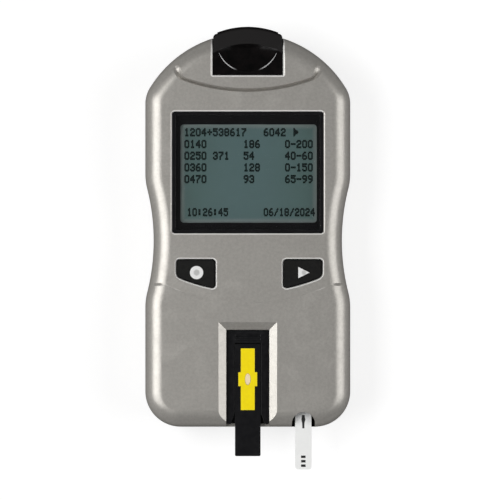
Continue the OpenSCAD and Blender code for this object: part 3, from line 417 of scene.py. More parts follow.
# the Sides and Ends values, rimReach, rimDepth and rimFade set the painted highlight on the rims; each Rim
# value is a rim's radius
openings = dict(
    spare=0.02, below=3, beyond=3, windowRim=0.65, windowGap=0.1, windowSides=0.2, windowEnds=0.95,
    keyRim=0.75, keyGap=0.2, keySides=1.0, keyEnds=1.0, portRim=0.9, portGap=0.15, portEnd=0.3, portSides=0.9,
    portEnds=1.0, portCorner=0.12, portCornerSteps=3, portStep=0.4, notchRim=0.3, notchWidth=8.3,
    notchLength=5.6, notchUnder=1.8, notchPainted=0.4, notchSteps=20, bevelWidth=2.75, bevelDepth=1.6,
    bevelRim=0.3, bevelUnder=0.05, bevelMiddle=(0.25, 0.22), bevelOver=(1.5, 0.5), bevelProud=0.004,
    rimReach=1.1, rimDepth=1.05, rimFade=9)


def buildFrontShell():
    cut = openings
    spare, outside = cut["spare"], -halfLength - cut["beyond"]
    shell = skinned("front_case", "frontShell", caseShape["frontEdge"], faceZ - seamZ, False)
    rims = [(grown(topLoop(node), cut[kind + "Gap"] + spare), kind)
            for node, kind in (("display_trim", "window"), ("enter_key", "key"), ("next_key", "key"))]
    for outline, kind in rims:
        carve(shell, flaredCutter("faceCut", outline, faceZ - cut["below"], cut[kind + "Rim"]))
    low, high = nodeBox("code_chip_case")
    gap = cut["portGap"] + spare
    port = (low.x - gap, high.x + gap, low.y - caseMiddleY - cut["portEnd"] - spare,
            halfLength + cut["beyond"])
    outline = divided(boxOutline(*port, cut["portCorner"], cut["portCornerSteps"]), cut["portStep"])
    carve(shell, flaredCutter("portCut", outline, low.z - gap, cut["portRim"], surfaceHeight))
    rims.append((outline, "port"))
    low, high = nodeBox("sensor_strip")
    middle = (low.x + high.x) / 2
    half = cut["notchWidth"] / 2
    archY = -halfLength + cut["notchLength"] - half
    outline = [(middle - half, outside), (middle + half, outside)]
    outline += arc(middle, archY, half, 0, 180, cut["notchSteps"])
    carve(shell, flaredCutter("notchCut", outline, low.z - cut["notchUnder"] - spare, cut["notchRim"]))
    carve(shell, channelCutter())
    for name, groove in grooves.items():
        carve(shell, grooveCutter(name + "Groove", groove))
    markRimHighlights(shell, rims)
    notch = (middle - half, middle + half, outside, archY + half)
    markBareAndShadedHollows(shell, [(*notch, cut["notchPainted"]), (*port, cut["portRim"])])
    return smoothed(shell, fine["shellAngle"])


# the faces inside the notch and the port, partly bare dark plastic and partly painted shade of the hollow
def markBareAndShadedHollows(shell, hollows):
    values = []
    for face in shell.data.polygons:
        x, y, z = placeOf(face.center)
        inside = [painted for left, right, near, far, painted in hollows
                  if min(x - left, right - x, y - near, far - y) > -openings["spare"]]
        values.append(1 if any(z < surfaceHeight(x, y) - painted for painted in inside) else 0)
    shell.data.attributes.new("bare", "FLOAT", "FACE").data.foreach_set("value", values)


# the round rims of the openings, which carry a painted highlight
def markRimHighlights(shell, rims):
    values = []
    for point in shell.data.vertices:
        x, y, z = placeOf(point.co)
        value = 0
        for outline, kind in rims:
            rim = openings[kind + "Rim"]
            xs, ys = zip(*outline)
            besideX = min(x - min(xs), max(xs) - x)
            besideY = min(y - min(ys), max(ys) - y)
            if min(besideX, besideY) > -rim * openings["rimReach"]:
                drop = surfaceHeight(x, y) - z
                if drop < rim * openings["rimDepth"]:
                    most = openings[kind + ("Sides" if besideX < besideY else "Ends")]
                    value = most * eased(drop / rim * openings["rimFade"])
        values.append(value)
    shell.data.attributes.new("rim", "FLOAT", "POINT").data.foreach_set("value", values)


# the strip channel with its long chamfers, as a box that widens towards the face
def channelCutter():
    cut = openings
    low, high = nodeBox("strip_holder")
    gap = cut["portGap"] + cut["spare"]
    inside = boxOutline(low.x - gap, high.x + gap, -halfLength - cut["beyond"] * 2,
                        high.y - caseMiddleY + cut["portEnd"] + cut["spare"])
    width, depth = cut["bevelWidth"], cut["bevelDepth"]
    slope = atan2(depth, width)
    # from the chamfer's top edge to where the round rim meets the chamfer and the face
    reach = cut["bevelRim"] * sin(slope) / (1 + cos(slope))
    (middleOut, middleDown), (overOut, overUp) = cut["bevelMiddle"], cut["bevelOver"]
    profile = [(0, low.z - cut["bevelUnder"] - cut["spare"]), (0, faceZ - depth),
               (width - reach * cos(slope), faceZ - reach * sin(slope)),
               (width + reach * middleOut, faceZ - reach * sin(slope) * middleDown),
               (width + reach, faceZ + cut["bevelProud"]), (width + reach * overOut, faceZ + overUp)]
    return ringLoft("channelCut", [flatRing(grown(inside, out), z) for out, z in profile])


rearCuts = dict(battery_door=dict(gap=0.3, rim=0.3, depth=1.9, corner=0.1),
                rear_label=dict(gap=0.1, rim=0.15, depth=0.3, corner=2),
                case_screws=dict(gap=0.2, rim=0.35, depth=2, steps=48))


def buildRearShell():
    spare = openings["spare"]
    shell = skinned("rear_case", "rearShell", caseShape["rearEdge"], seamZ, True)

    # a hole in the rear, cut with a cutter that is turned over
    def sink(outline, cut):
        cutter = flaredCutter("rearCut", outline, -cut["depth"] - spare, cut["rim"], lambda x, y: 0)
        for point in cutter.data.vertices:
            point.co.z = -point.co.z
        cutter.data.flip_normals()
        carve(shell, cutter)

    travel = next(joint for joint in frame["joints"] if joint["name"] == "door_slide")["range_m"][1] / mm
    for node, further in (("battery_door", travel), ("rear_label", 0)):
        low, high = nodeBox(node)
        cut = rearCuts[node]
        gap = cut["gap"] + spare
        sink(boxOutline(low.x - gap, high.x + gap, low.y - caseMiddleY - further - gap,
                        high.y - caseMiddleY + gap, cut["corner"]), cut)
    cut = rearCuts["case_screws"]
    for low, high in looseParts("case_screws"):
        middle, radius = (low + high) / 2, (high.x - low.x) / 2 + cut["gap"] + spare
        sink(arc(middle.x, middle.y, radius, 0, 360, cut["steps"], False), cut)
    return smoothed(shell, fine["shellAngle"])


frontShell = buildFrontShell()
print("stage: front shell", len(frontShell.data.polygons))
rearShell = buildRearShell()
print("stage: rear shell", len(rearShell.data.polygons))


# Pieces that keep a node's shape and get the rounded edges of a moulded or cut part

edgeWidths = dict(
    battery_door=0.35, display_trim=0.04, window_gasket=0.02, display_window=0.03, enter_key=0.45,
    next_key=0.45, enter_key_mark=0.05, next_key_mark=0.05, code_chip_case=0.22, code_chip_board=0.1,
    strip_holder=0.22, test_strip=0.18, test_strip_cover=0.1, test_pad=0.06, sensor_strip=0.1,
    rear_label=0.03, chip_socket=0.12, sensor_socket=0.12, optics_block=0.15, processor=0.08, memory=0.08,
    clock_crystal=0.3, display_frame=0.1)


def pieceName(node):
    first, *rest = node.split("_")
    return first + "".join(word.capitalize() for word in rest)


def settle(piece, node, hides=True):
    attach(piece, nodes[node]["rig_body"])
    if hides:
        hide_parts(node)
    return piece


chipLip = dict(scoopUp=12.2, scoopRadius=11.3, thick=0.24, thinnest=0.15, sunk=0.06, start=200, end=340,
               steps=60, around=12)
holderEnd = dict(near=0.3, further=0.62)
windowBorder = dict(inner=25, outer=1, left=0.5, right=0.1, top=-0.65, bottom=-0.1, seated=0.14)


# the raised lip along the lower side of the chip's scoop
def withLip(chip):
    lip = chipLip
    low, high = nodeBox("code_chip_case")
    middleY = low.y - caseMiddleY + lip["scoopUp"]
    rings = []
    for i in range(lip["steps"] + 1):
        turn = radians(lip["start"] + (lip["end"] - lip["start"]) * i / lip["steps"])
        thick = lip["thick"] * max(lip["thinnest"], sqrt(sin(pi * i / lip["steps"])))
        ring = []
        for angle in [2 * pi * j / lip["around"] for j in range(lip["around"])]:
            radius = lip["scoopRadius"] + thick * cos(angle)
            ring.append((radius * cos(turn), middleY + radius * sin(turn),
                         high.z - lip["sunk"] + thick * sin(angle)))
        rings.append(ring)
    return combine(chip, facedOut(ringLoft("chipLip", rings)), "UNION")


# the holder reaches the end of its channel
def lengthened(holder):
    end = nodeBox("strip_holder")[0].y + holderEnd["near"]
    for point in holder.data.vertices:
        if point.co.y < end * mm:
            point.co.y -= holderEnd["further"] * mm
    return holder


# the border seen through the window is wider at its left and at its top
def unevenBorder(gasket):
    border = windowBorder
    low, high = nodeBox("window_gasket")
    middle = (low.y + high.y) / 2
    for point in gasket.data.vertices:
        x, y = point.co.x / mm, point.co.y / mm - middle
        if abs(x) < border["inner"] and abs(y) < high.y - middle - border["outer"]:
            point.co.x += border["left" if x < 0 else "right"] * mm
            point.co.y += border["bottom" if y < 0 else "top"] * mm
    return gasket


# the clear window reaches into its trim all round, so that no gap shows
def seatedWindow(window):
    low, high = nodeBox("display_window")
    middleY = ((low + high) / 2).y
    reach = windowBorder["seated"] * mm
    for point in window.data.vertices:
        point.co.x += reach if point.co.x > 0 else -reach
        point.co.y += reach if point.co.y / mm > middleY else -reach
    return window


reshaped = dict(code_chip_case=withLip, strip_holder=lengthened, window_gasket=unevenBorder,
                display_window=seatedWindow)
shown = {"front_case": settle(frontShell, "front_case"), "rear_case": settle(rearShell, "rear_case")}
for node, width in edgeWidths.items():
    copy = cadCopy(node, pieceName(node))
    if node in reshaped:
        copy = reshaped[node](copy)
    shown[node] = settle(softened(copy, width), node)
for node in nodes:
    if node not in shown:
        shown[node] = nodes[node]
print("stage: rounded pieces", len(edgeWidths))


# Helpers for all node trees

# adds a node, joins the sockets given among its inputs and sets the plain values
def put(tree, kind, inputs=None, **settings):
    added = tree.nodes.new(kind)
    for key, value in settings.items():
        setattr(added, key, value)
    for key, value in (inputs or {}).items():
        if isinstance(value, bpy.types.NodeSocket):
            tree.links.new(value, added.inputs[key])
        else:
            added.inputs[key].default_value = value
    return added


# the same, for a node whose first output is all that is wanted
def output(tree, kind, inputs=None, **settings):
    return put(tree, kind, inputs, **settings).outputs[0]


# a function that adds maths nodes of one kind, one for each pair of values
def maths(how):
    def reckoned(*values):
        tree = next(value.id_data for value in values if isinstance(value, bpy.types.NodeSocket))
        result, *others = values
        for other in others or [0.0]:
            result = output(tree, "ShaderNodeMath", {0: result, 1: other}, operation=how)
        return result
    return reckoned


plus, minus, times, over = maths("ADD"), maths("SUBTRACT"), maths("MULTIPLY"), maths("DIVIDE")
power, root, positive, fraction = maths("POWER"), maths("SQRT"), maths("ABSOLUTE"), maths("FRACT")
larger, smaller = maths("MAXIMUM"), maths("MINIMUM")
isAbove, isBelow = maths("GREATER_THAN"), maths("LESS_THAN")


def vector(tree, x=0.0, y=0.0, z=0.0):
    return output(tree, "ShaderNodeCombineXYZ", {0: x, 1: y, 2: z})


def split(place):
    return put(place.id_data, "ShaderNodeSeparateXYZ", {0: place}).outputs


# the first output of a geometry node, whose inputs are given as sideSegments for Side Segments
def geometry(tree, kind, **inputs):
    given = {}
    for name, value in inputs.items():
        given["".join(" " + letter if letter.isupper() else letter for letter in name).title()] = value
    return output(tree, "GeometryNode" + kind, given)


# Node trees that repeat a shape

def geometryTree(name, numbers, **others):
    tree = bpy.data.node_groups.new(name, "GeometryNodeTree")
    numbers = dict.fromkeys(numbers.split(), "Float")
    inputs = dict(Geometry="Geometry", **numbers, **others, material="Material")
    for label, kind in inputs.items():
        tree.interface.new_socket(label, in_out="INPUT", socket_type="NodeSocket" + kind)
    tree.interface.new_socket("Geometry", in_out="OUTPUT", socket_type="NodeSocketGeometry")
    return tree, tree.nodes.new("NodeGroupInput").outputs, tree.nodes.new("NodeGroupOutput").inputs


# one copy of the piece on each point, made real and given its material
def onPoints(tree, given, result, piece, rotation):
    copies = geometry(tree, "InstanceOnPoints", points=given["Geometry"], instance=piece, rotation=rotation)
    real = geometry(tree, "RealizeInstances", geometry=copies)
    finished = geometry(tree, "SetMaterial", geometry=real, material=given["material"])
    tree.links.new(finished, result["Geometry"])
    return tree


def runTree(piece, tree, **values):
    modifier = piece.modifiers.new("repeat", "NODES")
    modifier.node_group = tree
    for item in tree.interface.items_tree:
        if item.in_out == "INPUT" and item.name in values:
            modifier[item.identifier] = values[item.name]
    return makePlain(piece)


def dotTree():
    tree, given, result = geometryTree("dotMatrix", "width height thickness")
    size = vector(tree, given["width"], given["height"], given["thickness"])
    return onPoints(tree, given, result, geometry(tree, "MeshCube", size=size), (0, 0, 0))


screwLook = dict(headSides=40, headLevels=10, shankSides=24, slot=1.15, threadShare=0.8, threadSteps=20,
                 ridge=0.16, ridgeSides=3)


# a pan head screw: its head's top is on the point, and it runs down from there
def screwTree():
    look = screwLook
    numbers = "headRadius headHeight edge recessWidth recessDepth shankRadius length turns facing"
    tree, given, result = geometryTree("crossScrew", numbers, seed="Int")
    height, radius, edge, long = given["headHeight"], given["headRadius"], given["edge"], given["length"]
    recess, thin = given["recessWidth"], given["shankRadius"]
    head = geometry(tree, "MeshCylinder", vertices=look["headSides"], sideSegments=look["headLevels"],
                 radius=radius, depth=height)
    x, y, z = split(geometry(tree, "InputPosition"))
    half = times(height, 0.5)
    # the head's side keeps its radius up to the edge and then turns in along a quarter round
    rise = larger(plus(minus(z, half), edge), 0.0)
    turned = root(larger(minus(power(edge, 2), power(rise, 2)), 0.0))
    share = over(plus(minus(radius, edge), turned), radius)
    moved = vector(tree, times(x, share), times(y, share), minus(z, half))
    head = geometry(tree, "SetPosition", geometry=head, position=moved)
    cut = put(tree, "GeometryNodeMeshBoolean", {"Mesh 1": head}, operation="DIFFERENCE")
    for across, down in ((look["slot"], 0), (0, look["slot"])):
        size = vector(tree, plus(times(radius, across), recess), plus(times(radius, down), recess),
                      given["recessDepth"])
        tree.links.new(geometry(tree, "MeshCube", size=size), cut.inputs["Mesh 2"])
    rest = minus(long, height)
    shank = geometry(tree, "MeshCylinder", vertices=look["shankSides"], radius=thin, depth=rest)
    drop = vector(tree, z=times(plus(long, height), -0.5))
    shank = geometry(tree, "Transform", geometry=shank, translation=drop)
    threadLength = times(rest, look["threadShare"])
    path = geometry(tree, "CurveSpiral", resolution=look["threadSteps"], rotations=given["turns"],
                 startRadius=thin, endRadius=thin, height=threadLength)
    ridge = geometry(tree, "CurvePrimitiveCircle", resolution=look["ridgeSides"], radius=look["ridge"] * mm)
    thread = geometry(tree, "CurveToMesh", curve=path, profileCurve=ridge, fillCaps=True)
    start = vector(tree, z=minus(threadLength, long))
    thread = geometry(tree, "Transform", geometry=thread, rotation=(pi, 0, 0), translation=start)
    whole = put(tree, "GeometryNodeJoinGeometry", {0: cut.outputs[0]})
    for part in (shank, thread):
        tree.links.new(part, whole.inputs[0])
    turn = put(tree, "FunctionNodeRandomValue", {"Seed": given["seed"]}, data_type="FLOAT").outputs[1]
    spin = vector(tree, given["facing"], z=times(turn, pi / 2))
    return onPoints(tree, given, result, whole.outputs[0], spin)


springLook = dict(coilSteps=26, wireSides=10)


# a cone of wire along the x axis; the side of each point says which way its wide end looks
def springTree():
    tree, given, result = geometryTree("coneSpring", "wideRadius narrowRadius length turns wireRadius")
    path = geometry(tree, "CurveSpiral", resolution=springLook["coilSteps"], rotations=given["turns"],
                 startRadius=given["wideRadius"], endRadius=given["narrowRadius"], height=given["length"])
    wire = geometry(tree, "CurvePrimitiveCircle", resolution=springLook["wireSides"],
                    radius=given["wireRadius"])
    coil = geometry(tree, "CurveToMesh", curve=path, profileCurve=wire, fillCaps=True)
    side = output(tree, "GeometryNodeInputNamedAttribute", {"Name": "side"}, data_type="FLOAT")
    return onPoints(tree, given, result, coil, vector(tree, y=times(side, pi / 2)))


# Numbers of the liquid crystal display, drawn with rows of five dots by seven

dotFont = {
    "0": "01110 10001 10001 10001 10001 10001 01110", "1": "00100 01100 00100 00100 00100 00100 01110",
    "2": "01110 10001 00001 00110 01000 10000 11111", "3": "01110 10001 00001 00110 00001 10001 01110",
    "4": "00010 00110 01010 10010 11111 00010 00010", "5": "11111 10000 11110 00001 00001 10001 01110",
    "6": "00110 01000 10000 11110 10001 10001 01110", "7": "11111 00001 00010 00100 01000 01000 01000",
    "8": "01110 10001 10001 01110 10001 10001 01110", "9": "01110 10001 10001 01111 00001 00010 01100",
    "-": "00000 00000 00000 11111 00000 00000 00000", "+": "00000 00100 00100 11111 00100 00100 00000",
    ":": "00000 01100 01100 00000 01100 01100 00000", "/": "00001 00010 00010 00100 01000 01000 10000",
    ">": "10000 11000 11110 11111 11110 11000 10000", " ": "00000 00000 00000 00000 00000 00000 00000"}
displayText = dict(dotHeight=0.39, thickness=0.02, stagger=0.002, filled=1.8, columns=6.5, wide=2.05,
                   narrow=1.87)
# the height of each word's line, its start and the word
displayWords = dict(
    wide=[(35.05, -22.7, "1204+538617"), (35.05, 5.8, "6042"), (35.05, 16.5, ">"),
          (30.8, -22.7, "0140"), (30.8, -1.4, "186"), (30.8, 13.5, "0-200"),
          (26.6, -22.7, "0250 371"), (26.6, -1.4, "54"), (26.6, 13.5, "40-60"),
          (22.4, -22.7, "0360"), (22.4, -1.4, "128"), (22.4, 13.5, "0-150"),
          (18.2, -22.7, "0470"), (18.2, -1.4, "93"), (18.2, 13.5, "65-99")],
    narrow=[(6.3, -21.7, "10:26:45"), (6.3, 5.8, "06/18/2024")])


# the dots lie at four heights in turn, so that no two tops that touch are level
def buildDots(material):
    text = displayText
    top = nodeBox("display_panel")[1].z + text["thickness"] / 2
    tree = dotTree()
    for kind, words in displayWords.items():
        step = text[kind] / text["columns"]
        points = []
        for rowY, startX, word in words:
            for place, letter in enumerate(word):
                for line, bits in enumerate(dotFont[letter].split()):
                    y = rowY + (3 - line) * text["dotHeight"]
                    points += [(startX + place * text[kind] + (column + 0.5) * step, y,
                                top + text["stagger"] * ((column + 2 * line) % 4))
                               for column, bit in enumerate(bits) if bit == "1"]
        dots = runTree(meshPiece(kind + "Digits", points), tree, width=step * text["filled"] * mm,
                       height=text["dotHeight"] * text["filled"] * mm, thickness=text["thickness"] * mm,
                       material=material)
        settle(dots, "display_panel", False)


screwSizes = dict(headHeight=1.8, edge=0.7, recessWidth=0.75, recessDepth=1.7, shankRadius=1.05)
screwTurning = dict(turns=13, seed=4, facing=pi)


def buildCaseScrews(material):
    sizes = {name: size * mm for name, size in screwSizes.items()}
    boxes = looseParts("case_screws")
    points = [((low.x + high.x) / 2, (low.y + high.y) / 2, low.z) for low, high in boxes]
    low, high = boxes[0]
    screws = runTree(meshPiece("caseScrews", points), screwTree(), headRadius=(high.x - low.x) / 2 * mm,
                     length=(high.z - low.z) * mm, material=material, **sizes, **screwTurning)
    return settle(smoothed(screws, fine["smoothAngle"]), "case_screws")


springSizes = dict(narrowRadius=2.2, wireRadius=0.3, turns=4.5, smoothAngle=60)


def buildSprings(material):
    size = springSizes
    boxes = looseParts("cell_springs")
    sides = [1 if (low.x + high.x) < 0 else -1 for low, high in boxes]
    points = [(low.x if side > 0 else high.x, (low.y + high.y) / 2, (low.z + high.z) / 2)
              for side, (low, high) in zip(sides, boxes)]
    springs = meshPiece("cellSprings", points)
    springs.data.attributes.new("side", "FLOAT", "POINT").data.foreach_set("value", sides)
    low, high = boxes[0]
    runTree(springs, springTree(), wideRadius=((high.z - low.z) / 2 - size["wireRadius"]) * mm,
            narrowRadius=size["narrowRadius"] * mm, length=(high.x - low.x) * mm, turns=size["turns"],
            wireRadius=size["wireRadius"] * mm, material=material)
    return settle(smoothed(springs, size["smoothAngle"]), "cell_springs")


# Shader groups that several finishes share; sizes in them are in millimetres

# the build function gets the inputs' sockets and gives the sockets of the outputs
def shaderGroup(name, build, **inputs):
    tree = bpy.data.node_groups.new(name, "ShaderNodeTree")
    for label, value in inputs.items():
        tree.interface.new_socket(label, in_out="INPUT", socket_type="NodeSocketFloat").default_value = value
    given = tree.nodes.new("NodeGroupInput").outputs
    outputs = build(tree, *[given[label] for label in inputs])
    for label in outputs:
        tree.interface.new_socket(label, in_out="OUTPUT", socket_type="NodeSocketFloat")
    result = tree.nodes.new("NodeGroupOutput").inputs
    for label, value in outputs.items():
        tree.links.new(value, result[label])
    return tree


def inMillimetres(tree, stretch=(1, 1, 1)):
    place = put(tree, "ShaderNodeTexCoord").outputs["Object"]
    scale = [part / mm for part in stretch]
    return output(tree, "ShaderNodeVectorMath", {0: place, 1: scale}, operation="MULTIPLY")


def noise(tree, size, detail=3.0, roughness=0.6, stretch=(1, 1, 1), distortion=0.0):
    scale = over(1.0, size) if isinstance(size, bpy.types.NodeSocket) else 1.0 / size
    return output(tree, "ShaderNodeTexNoise", {
        "Vector": inMillimetres(tree, stretch), "Scale": scale, "Detail": detail, "Roughness": roughness,
        "Distortion": distortion})


# one cell's distance and its own random shades
def cells(tree, scale):
    found = put(tree, "ShaderNodeTexVoronoi", {"Vector": inMillimetres(tree), "Scale": scale}).outputs
    return found["Distance"], put(tree, "ShaderNodeSeparateColor", {0: found["Color"]}).outputs


def ramp(value, low, high, to=1.0):
    limits = {"Value": value, "From Min": low, "From Max": high, "To Max": to}
    return output(value.id_data, "ShaderNodeMapRange", limits, clamp=True, interpolation_type="SMOOTHSTEP")


def between(share, low, high):
    return output(share.id_data, "ShaderNodeMix", {0: share, 2: low, 3: high})


cloudLook = dict(detail=4.0, edge=(0.32, 0.68))
flakeLook = dict(detail=2.0, edge=(0.3, 0.7))
handLook = dict(detail=5.0, smear=(0.45, 0.75), rough=0.65, twist=1.2, line=0.7, lineDetail=2.0, along=0.04,
                bend=0.4, scratch=(0.66, 0.7), patch=14.0, patches=(0.5, 0.65))
dustLook = dict(cell=0.9, rare=0.75, speck=0.07, film=2.5, detail=6.0, rough=0.7, thick=(0.45, 0.9),
                filmShare=0.35, upward=(0.4, 0.9))
edgeWearOrShadeLook = dict(samples=4, turned=(0.985, 0.86), grain=0.8, detail=5.0, rough=0.7, broken=(0.38, 0.62))


def mouldGrain(tree, size):
    return dict(height=noise(tree, size))


def softCloud(tree, size):
    return dict(tone=ramp(noise(tree, size, cloudLook["detail"]), *cloudLook["edge"]))


# fine flakes in a paint, each with its own brightness, over a slow drift of the same tone
def paintFlakes(tree, flake, drift, share):
    distance, shades = cells(tree, over(1.0, flake))
    drifting = ramp(noise(tree, drift, flakeLook["detail"]), *flakeLook["edge"])
    return dict(tone=between(share, drifting, shades[0]), height=times(shades[0], distance))


# soft marks that hands leave, with a few hairline scratches
def handMarks(tree, size, scratches):
    look = handLook
    smear = noise(tree, size, look["detail"], look["rough"], distortion=look["twist"])
    stretch = (1, look["along"], 1)
    lines = noise(tree, look["line"], look["lineDetail"], stretch=stretch, distortion=look["bend"])
    patches = ramp(noise(tree, look["patch"], look["lineDetail"]), *look["patches"])
    scratch = times(ramp(lines, *look["scratch"]), patches, scratches)
    return dict(mask=larger(ramp(smear, *look["smear"]), scratch))


# specks and a thin film on the faces that look up
def settledDust(tree, amount):
    look = dustLook
    facing = split(put(tree, "ShaderNodeNewGeometry").outputs["Normal"])[2]
    distance, shades = cells(tree, look["cell"])
    speck = isBelow(distance, times(isAbove(shades[1], look["rare"]), look["speck"]))
    film = ramp(noise(tree, look["film"], look["detail"], look["rough"]), *look["thick"])
    dusty = larger(speck, times(film, look["filmShare"]))
    return dict(mask=times(dusty, ramp(facing, *look["upward"]), amount))


# along edges, where the rounded normal leaves the true one, broken up by grain: rubbed wear on most finishes,
# painted shade on the keys
def rubbedEdges(tree, width, amount):
    look = edgeWearOrShadeLook
    rounded = output(tree, "ShaderNodeBevel", {"Radius": times(width, mm)}, samples=look["samples"])
    true = put(tree, "ShaderNodeNewGeometry").outputs["Normal"]
    match = put(tree, "ShaderNodeVectorMath", {0: rounded, 1: true}, operation="DOT_PRODUCT").outputs["Value"]
    broken = ramp(noise(tree, look["grain"], look["detail"], look["rough"]), *look["broken"])
    return dict(mask=times(ramp(match, *look["turned"]), broken, amount))


groups = dict(grain=shaderGroup("mouldGrain", mouldGrain, size=0.3),
              cloud=shaderGroup("softCloud", softCloud, size=4.0),
              flakes=shaderGroup("paintFlakes", paintFlakes, flake=0.2, drift=1.1, share=0.5),
              marks=shaderGroup("handMarks", handMarks, size=9.0, scratches=0.5),
              dust=shaderGroup("settledDust", settledDust, amount=0.3),
              wear=shaderGroup("rubbedEdges", rubbedEdges, width=0.35, amount=0.5))


def use(tree, group, **values):
    return output(tree, "ShaderNodeGroup", values, node_tree=groups[group])


# Finishes

shaderInputs = dict(colour="Base Color", rough="Roughness", metal="Metallic", shine="Specular IOR Level",
                    tint="Specular Tint", soft="Subsurface Weight", clear="Transmission Weight",
                    bending="IOR")


# joins sockets to the shader and sets plain values, colours among them
def feed(shader, **values):
    for name, value in values.items():
        into = shader.inputs[shaderInputs[name]]
        if isinstance(value, bpy.types.NodeSocket):
            shader.id_data.links.new(value, into)
        else:
            into.default_value = (*value, 1) if isinstance(value, tuple) else value


def startMaterial(name, **values):
    material = bpy.data.materials.new(name)
    material.use_nodes = True
    shader = material.node_tree.nodes["Principled BSDF"]
    feed(shader, **values)
    return material, material.node_tree, shader


# mixes two colours, each a socket, three shares or one number for a grey
def blend(share, *colours):
    inputs = {0: share}
    for index, colour in enumerate(colours, 6):
        if isinstance(colour, float):
            colour = (colour, colour, colour)
        inputs[index] = (*colour, 1) if isinstance(colour, tuple) else colour
    return put(share.id_data, "ShaderNodeMix", inputs, data_type="RGBA").outputs[2]


def bump(tree, shader, height, depth):
    lifted = output(tree, "ShaderNodeBump", {"Height": height, "Distance": depth * mm})
    tree.links.new(lifted, shader.inputs["Normal"])


def centredOn(tree, node):
    low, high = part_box(node)
    place = put(tree, "ShaderNodeTexCoord").outputs["Object"]
    moved = output(tree, "ShaderNodeVectorMath", {0: place, 1: tuple((low + high) / 2)}, operation="SUBTRACT")
    return split(output(tree, "ShaderNodeVectorMath", {0: moved, "Scale": 1 / mm}, operation="SCALE"))


def awayFrom(x, y):
    return root(plus(power(x, 2), power(y, 2)))


# Painted, moulded and printed parts share one recipe and differ by these values; grain is its size and depth
plainLook = dict(flakes=None, cloud=3.0, smooth=0.35, more=0.1, grain=(0.3, 0.008), wornColour=None,
                 worn=0.35, wornWidth=0.35, dustColour=(0.5, 0.49, 0.47), dustRough=0.4, marks=8.0,
                 scratches=0.5, patch=None, accent=None, shine=0.5, tint=(1.0, 1.0, 1.0), metallic=None,
                 soft=0.0)
lipHighlightSpan = (3.6, 6.6)
chipEnd = dict(radius=30.5, length=6.3, inner=(-0.1, 0.3), outer=(-0.4, -1.3))


# a painted highlight on the corners of the chip's lip
def lipHighlight(tree):
    x, y, z = centredOn(tree, "code_chip_case")
    low, high = nodeBox("code_chip_case")
    return times(isAbove(z, (high.z - low.z) / 2), ramp(positive(x), *lipHighlightSpan))


# a painted sheen on the chip's sloping end, which is lighter than the rest
def chipEndSheen(tree):
    x, y, z = centredOn(tree, "code_chip_case")
    low, high = nodeBox("code_chip_case")
    radius = chipEnd["radius"]
    away = awayFrom(x, plus(y, radius - (high.y - low.y) / 2))
    inner = [radius - chipEnd["length"] + part for part in chipEnd["inner"]]
    return times(ramp(away, *inner), ramp(away, *[radius + part for part in chipEnd["outer"]]))


def attribute(name):
    def mask(tree):
        return put(tree, "ShaderNodeAttribute", attribute_name=name).outputs["Fac"]
    return mask


inkLook = dict(grain=0.5, ragged=0.8, soft=0.4)


# ink that is thin in the middle of a mark
def greyMiddle(node, reach):
    def mask(tree):
        x, y, z = centredOn(tree, node)
        ragged = plus(awayFrom(x, y), times(noise(tree, inkLook["grain"]), inkLook["ragged"]))
        return ramp(ragged, reach + inkLook["soft"], reach * 0.5 + inkLook["soft"])
    return mask


markLook = dict(colour=(0.86, 0.86, 0.85), other=0.8, cloud=0.5, smooth=0.5, grain=(0.15, 0.01), dust=0.02)
